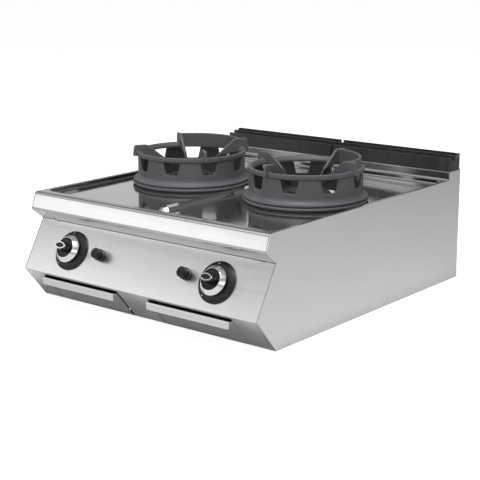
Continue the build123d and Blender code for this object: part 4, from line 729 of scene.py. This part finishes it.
for hand, side in (("left", -1), ("right", 1)):
    bezel_form = turned(rounded(BEZEL_LINE, closed=True), ROUND_STEPS)
    bezel = as_piece(bezel_form, f"bezel_{hand}", bezel_finish)
    bezel.data.transform(on_panel(side * KNOB_X))
    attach(bezel, "casing")
    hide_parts(f"knob_bezel_{hand}")
    collar_form = turned(rounded(COLLAR_LINE, closed=True), ROUND_STEPS)
    collar = as_piece(collar_form, f"collar_{hand}", chrome)
    collar.data.transform(on_panel(side * KNOB_X))
    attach(collar, f"control_{hand}")
    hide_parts(f"knob_collar_{hand}")
    grip = eased_copy(f"knob_{hand}", f"grip_{hand}", KNOB_EASE, knob_finish, segments=3)
    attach(grip, f"control_{hand}")
    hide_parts(f"knob_{hand}")
    trim = eased_copy(f"knob_trim_{hand}", f"grip_trim_{hand}", TRIM_EASE, chrome)
    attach(trim, f"control_{hand}")
    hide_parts(f"knob_trim_{hand}")

# ================================================================ igniters
# Push igniters: a black moulded button slides in a ribbed collar, whose threaded stem is
# held by a nut behind the panel.
IGNITER_X = {"left": -142.0, "right": 153.5}
IGNITER_UP = 3.0            # above the panel's middle line
RIB_COUNT = 20
RIB_DEPTH = 0.6
RIB_ENDS = (2.6, 12.4)      # how far off the panel the ribs begin and end
COLLAR_R = 15.3
STEM_LINE = (               # from the collar's floor, down and round the stem, to under the ribs
    (14.0, 4.0, 0), (4.2, 4.0, 0.3), (4.2, -36.0, 0.3), (10.0, -36.0, 0.5), (10.0, 0.0, 0.2),
    (COLLAR_R, 0.0, 0.3), (COLLAR_R, 2.0, 0),
)
COLLAR_TOP_LINE = ((COLLAR_R, 13.0, 0), (COLLAR_R, 15.0, 0.5), (14.0, 15.0, 0.4), (14.0, 9.0, 0))
RIB_ROWS = (                # angle within one rib's sector, and share of the groove's depth
    (-9.0, 1.0), (-7.6, 1.0), (-6.2, 0.5), (-4.8, 0.0), (0.0, 0.0),
    (4.8, 0.0), (6.2, 0.5), (7.6, 1.0), (9.0, 1.0),
)
BUTTON_LINE = (
    (0.0, -27.0, 0), (4.1, -27.0, 0.8), (4.1, 11.0, 0.3), (13.7, 11.0, 0.3),
    (13.7, 29.0, 2.8), (9.0, 29.0, 20.0), (0.0, 28.4, 0),
)
BUTTON_STEPS = 72

igniter_finish = moulded_black("nylon_moulded_black", "#08080a", "#121214", (0.22, 0.32))


def rib_sector():
    """One rib of the collar with half a groove on each side, about the Z axis."""
    rows = []
    for degrees, share in RIB_ROWS:
        angle = radians(degrees)
        ribbed = [Vector((COLLAR_R - share * RIB_DEPTH, z)) for z in RIB_ENDS]
        line = rounded(STEM_LINE) + ribbed + rounded(COLLAR_TOP_LINE)
        rows.append([(r * cos(angle), r * sin(angle), z) for r, z in line])
    return skin(rows)


for hand in ("left", "right"):
    housing = as_piece(rib_sector(), f"igniter_collar_{hand}", igniter_finish)
    repeated_round(housing, RIB_COUNT, 0.0, igniter_finish)
    housing.data.transform(on_panel(IGNITER_X[hand], IGNITER_UP))
    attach(housing, "casing")
    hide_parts(f"igniter_housing_{hand}")
    button_form = turned(rounded(BUTTON_LINE), BUTTON_STEPS)
    button = as_piece(button_form, f"igniter_push_{hand}", igniter_finish)
    button.data.transform(on_panel(IGNITER_X[hand], IGNITER_UP))
    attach(button, f"igniter_{hand}")
    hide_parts(f"igniter_button_{hand}")

# ================================================================ fascia screws
# Zinc-plated pan-head screws with a cross recess. They hold the hob's rolled edge from
# below, one near each end.
SCREW_X = 349.0
SCREW_FOLD = (-386.5, 214.0)     # y and z of the fold that the screws are measured from
SCREW_RUN = (-40.0, 31.0)        # how the face they are on goes forward and up from the fold
SCREW_UP = 12.0
SCREW_LINE = (                   # rings over the head, from the sheet to the middle of the top
    (0.0, 0.0), (4.5, 0.0), (4.5, 1.0), (4.1, 1.7), (3.4, 2.1), (2.6, 2.3), (1.9, 2.35),
    (1.2, 2.4), (0.6, 2.4), (0.0, 2.4),
)
SCREW_STEPS = 32
HEAD_TOP = 2.0                   # what lies above this may be in the recess
RECESS_R = 2.7
RECESS_HALF = 0.5
RECESS_DEPTH = 1.2

heads = turned(SCREW_LINE, SCREW_STEPS)
for corner in heads.verts:
    x, y, z = corner.co / MM
    if z > HEAD_TOP and hypot(x, y) < RECESS_R and min(abs(x), abs(y)) < RECESS_HALF:
        corner.co.z -= RECESS_DEPTH * MM
bmesh.ops.translate(heads, verts=heads.verts, vec=(SCREW_X * MM, 0, 0))
screws = as_piece(heads, "screw_heads", zinc_plate)
repeated_round(screws, 2, 0.0, zinc_plate)
screws.data.transform(
    Matrix.Translation(Vector((0, *SCREW_FOLD)) * MM)
    @ Matrix.Rotation(atan2(SCREW_RUN[1], SCREW_RUN[0]), 4, "X")
    @ Matrix.Translation((0, SCREW_UP * MM, 0))
)
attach(screws, "casing")
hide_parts("fascia_screws")

# ================================================================ stage
# Camera where the photograph was taken from, a pale floor and soft studio light.
CAMERA_PLACE = (2.07018, -2.57981, 0.9416)
CAMERA_TURN = 39.06              # degrees from straight in front
CAMERA_TILT = 76.33              # from straight down
CAMERA_ROLL = -0.15
CAMERA_LENS = 92.05              # mm, over a sensor of 36 mm
FLOOR_HALF = 30.0                # m
FLOOR_Z = -0.0003                # just clear of the casing's feet
FLOOR_TONE = 0.8
FLOOR_LIFT = 0.78                # glow that makes the floor white to the camera
FLOOR_MIRRORED = 0.03            # and what metal mirrors of it
ROOM_LIGHT = 0.25                # strength at which the room lights the object

camera = bpy.data.objects.new("camera", bpy.data.cameras.new("camera"))
scene.collection.objects.link(camera)
camera.location = CAMERA_PLACE
camera.rotation_euler = (
    Matrix.Rotation(radians(CAMERA_TURN), 3, "Z") @ Matrix.Rotation(radians(CAMERA_TILT), 3, "X")
    @ Matrix.Rotation(radians(CAMERA_ROLL), 3, "Z")
).to_euler()
camera.data.lens = CAMERA_LENS
camera.data.sensor_width = 36.0
scene.camera = camera

floor_form = bmesh.new()
bmesh.ops.create_grid(floor_form, x_segments=1, y_segments=1, size=FLOOR_HALF)
floor_finish, tree = empty_finish("studio_floor")
rays = add_node(tree, "ShaderNodeLightPath").outputs
matt = add_node(tree, "ShaderNodeBsdfDiffuse", {
    "Color": (FLOOR_TONE, FLOOR_TONE, FLOOR_TONE, 1.0)})
# lifted to white where the camera sees it, and a little where metal mirrors it, so that
# its shade under the casing still shows there
mirrored = add_node(tree, "ShaderNodeMath", {
    0: rays["Is Glossy Ray"], 1: rays["Is Transmission Ray"]}, operation="MAXIMUM")
mirrored_lift = add_node(tree, "ShaderNodeMath", {
    0: mirrored.outputs[0], 1: FLOOR_MIRRORED}, operation="MULTIPLY")
lift = add_node(tree, "ShaderNodeMath", {
    0: rays["Is Camera Ray"], 1: FLOOR_LIFT, 2: mirrored_lift.outputs[0],
}, operation="MULTIPLY_ADD")
glow = add_node(tree, "ShaderNodeEmission", {
    "Color": (1.0, 1.0, 1.0, 1.0), "Strength": lift.outputs[0]})
surface = add_node(tree, "ShaderNodeAddShader", {0: matt.outputs[0], 1: glow.outputs[0]})
add_node(tree, "ShaderNodeOutputMaterial", {"Surface": surface.outputs[0]})
floor = as_piece(floor_form, "floor", floor_finish)
floor.data.transform(Matrix.Translation((0, 0, FLOOR_Z)))

studio = bpy.data.worlds.new("studio")
scene.world = studio
studio.use_nodes = True
tree = studio.node_tree
tree.nodes.clear()
rays = add_node(tree, "ShaderNodeLightPath").outputs
ray_place = add_node(tree, "ShaderNodeTexCoord").outputs["Generated"]
way = add_node(tree, "ShaderNodeSeparateXYZ", {"Vector": ray_place}).outputs
# metal mirrors a grey skirting, a white wall, a grey cornice and a pale ceiling in front, and
# a grey wall that gives way to a dark ceiling behind
skirting = add_node(tree, "ShaderNodeMapRange", {
    "Value": way["Z"], "From Min": 0.05, "From Max": 0.12, "To Min": 0.3, "To Max": 1.55})
ceiling = add_node(tree, "ShaderNodeMapRange", {
    "Value": way["Z"], "From Min": 0.6, "From Max": 0.75, "To Min": 0.5, "To Max": 1.6})
ahead = add_node(tree, "ShaderNodeMapRange", {
    "Value": way["Z"], "From Min": 0.3, "From Max": 0.48,
    "To Min": skirting.outputs["Result"], "To Max": ceiling.outputs["Result"]})
behind = add_node(tree, "ShaderNodeMapRange", {
    "Value": way["Z"], "From Min": 0.12, "From Max": 0.5, "To Min": 0.85, "To Max": 0.2})
facing_back = add_node(tree, "ShaderNodeMapRange", {
    "Value": way["Y"], "From Min": -0.3, "From Max": 0.3})
wall = add_node(tree, "ShaderNodeMix", {
    "Factor": facing_back.outputs["Result"], "A": ahead.outputs["Result"],
    "B": behind.outputs["Result"]})
mirrored = add_node(tree, "ShaderNodeMath", {
    0: rays["Is Glossy Ray"], 1: rays["Is Transmission Ray"]}, operation="MAXIMUM")
unlit = add_node(tree, "ShaderNodeMix", {
    "Factor": mirrored.outputs[0], "A": ROOM_LIGHT, "B": wall.outputs[0]})
level = add_node(tree, "ShaderNodeMix", {
    "Factor": rays["Is Camera Ray"], "A": unlit.outputs[0], "B": 1.0})
sky = add_node(tree, "ShaderNodeBackground", {
    "Color": (1.0, 1.0, 1.0, 1.0), "Strength": level.outputs[0]})
add_node(tree, "ShaderNodeOutputWorld", {"Surface": sky.outputs[0]})


def softbox(name, place, aim, size, watts):
    """A square area lamp that faces a point."""
    lamp = bpy.data.objects.new(name, bpy.data.lights.new(name, "AREA"))
    lamp.data.size = size
    lamp.data.energy = watts
    lamp.location = place
    lamp.rotation_euler = (Vector(aim) - Vector(place)).to_track_quat("-Z", "Y").to_euler()
    scene.collection.objects.link(lamp)


softbox("panel_box", place=(-1.85, -2.4, 0.85), aim=(0.0, -0.4, 0.15), size=1.4, watts=3.2)
softbox("key_box", place=(0.55, -0.95, 3.5), aim=(0.0, 0.0, 0.2), size=1.8, watts=118.0)
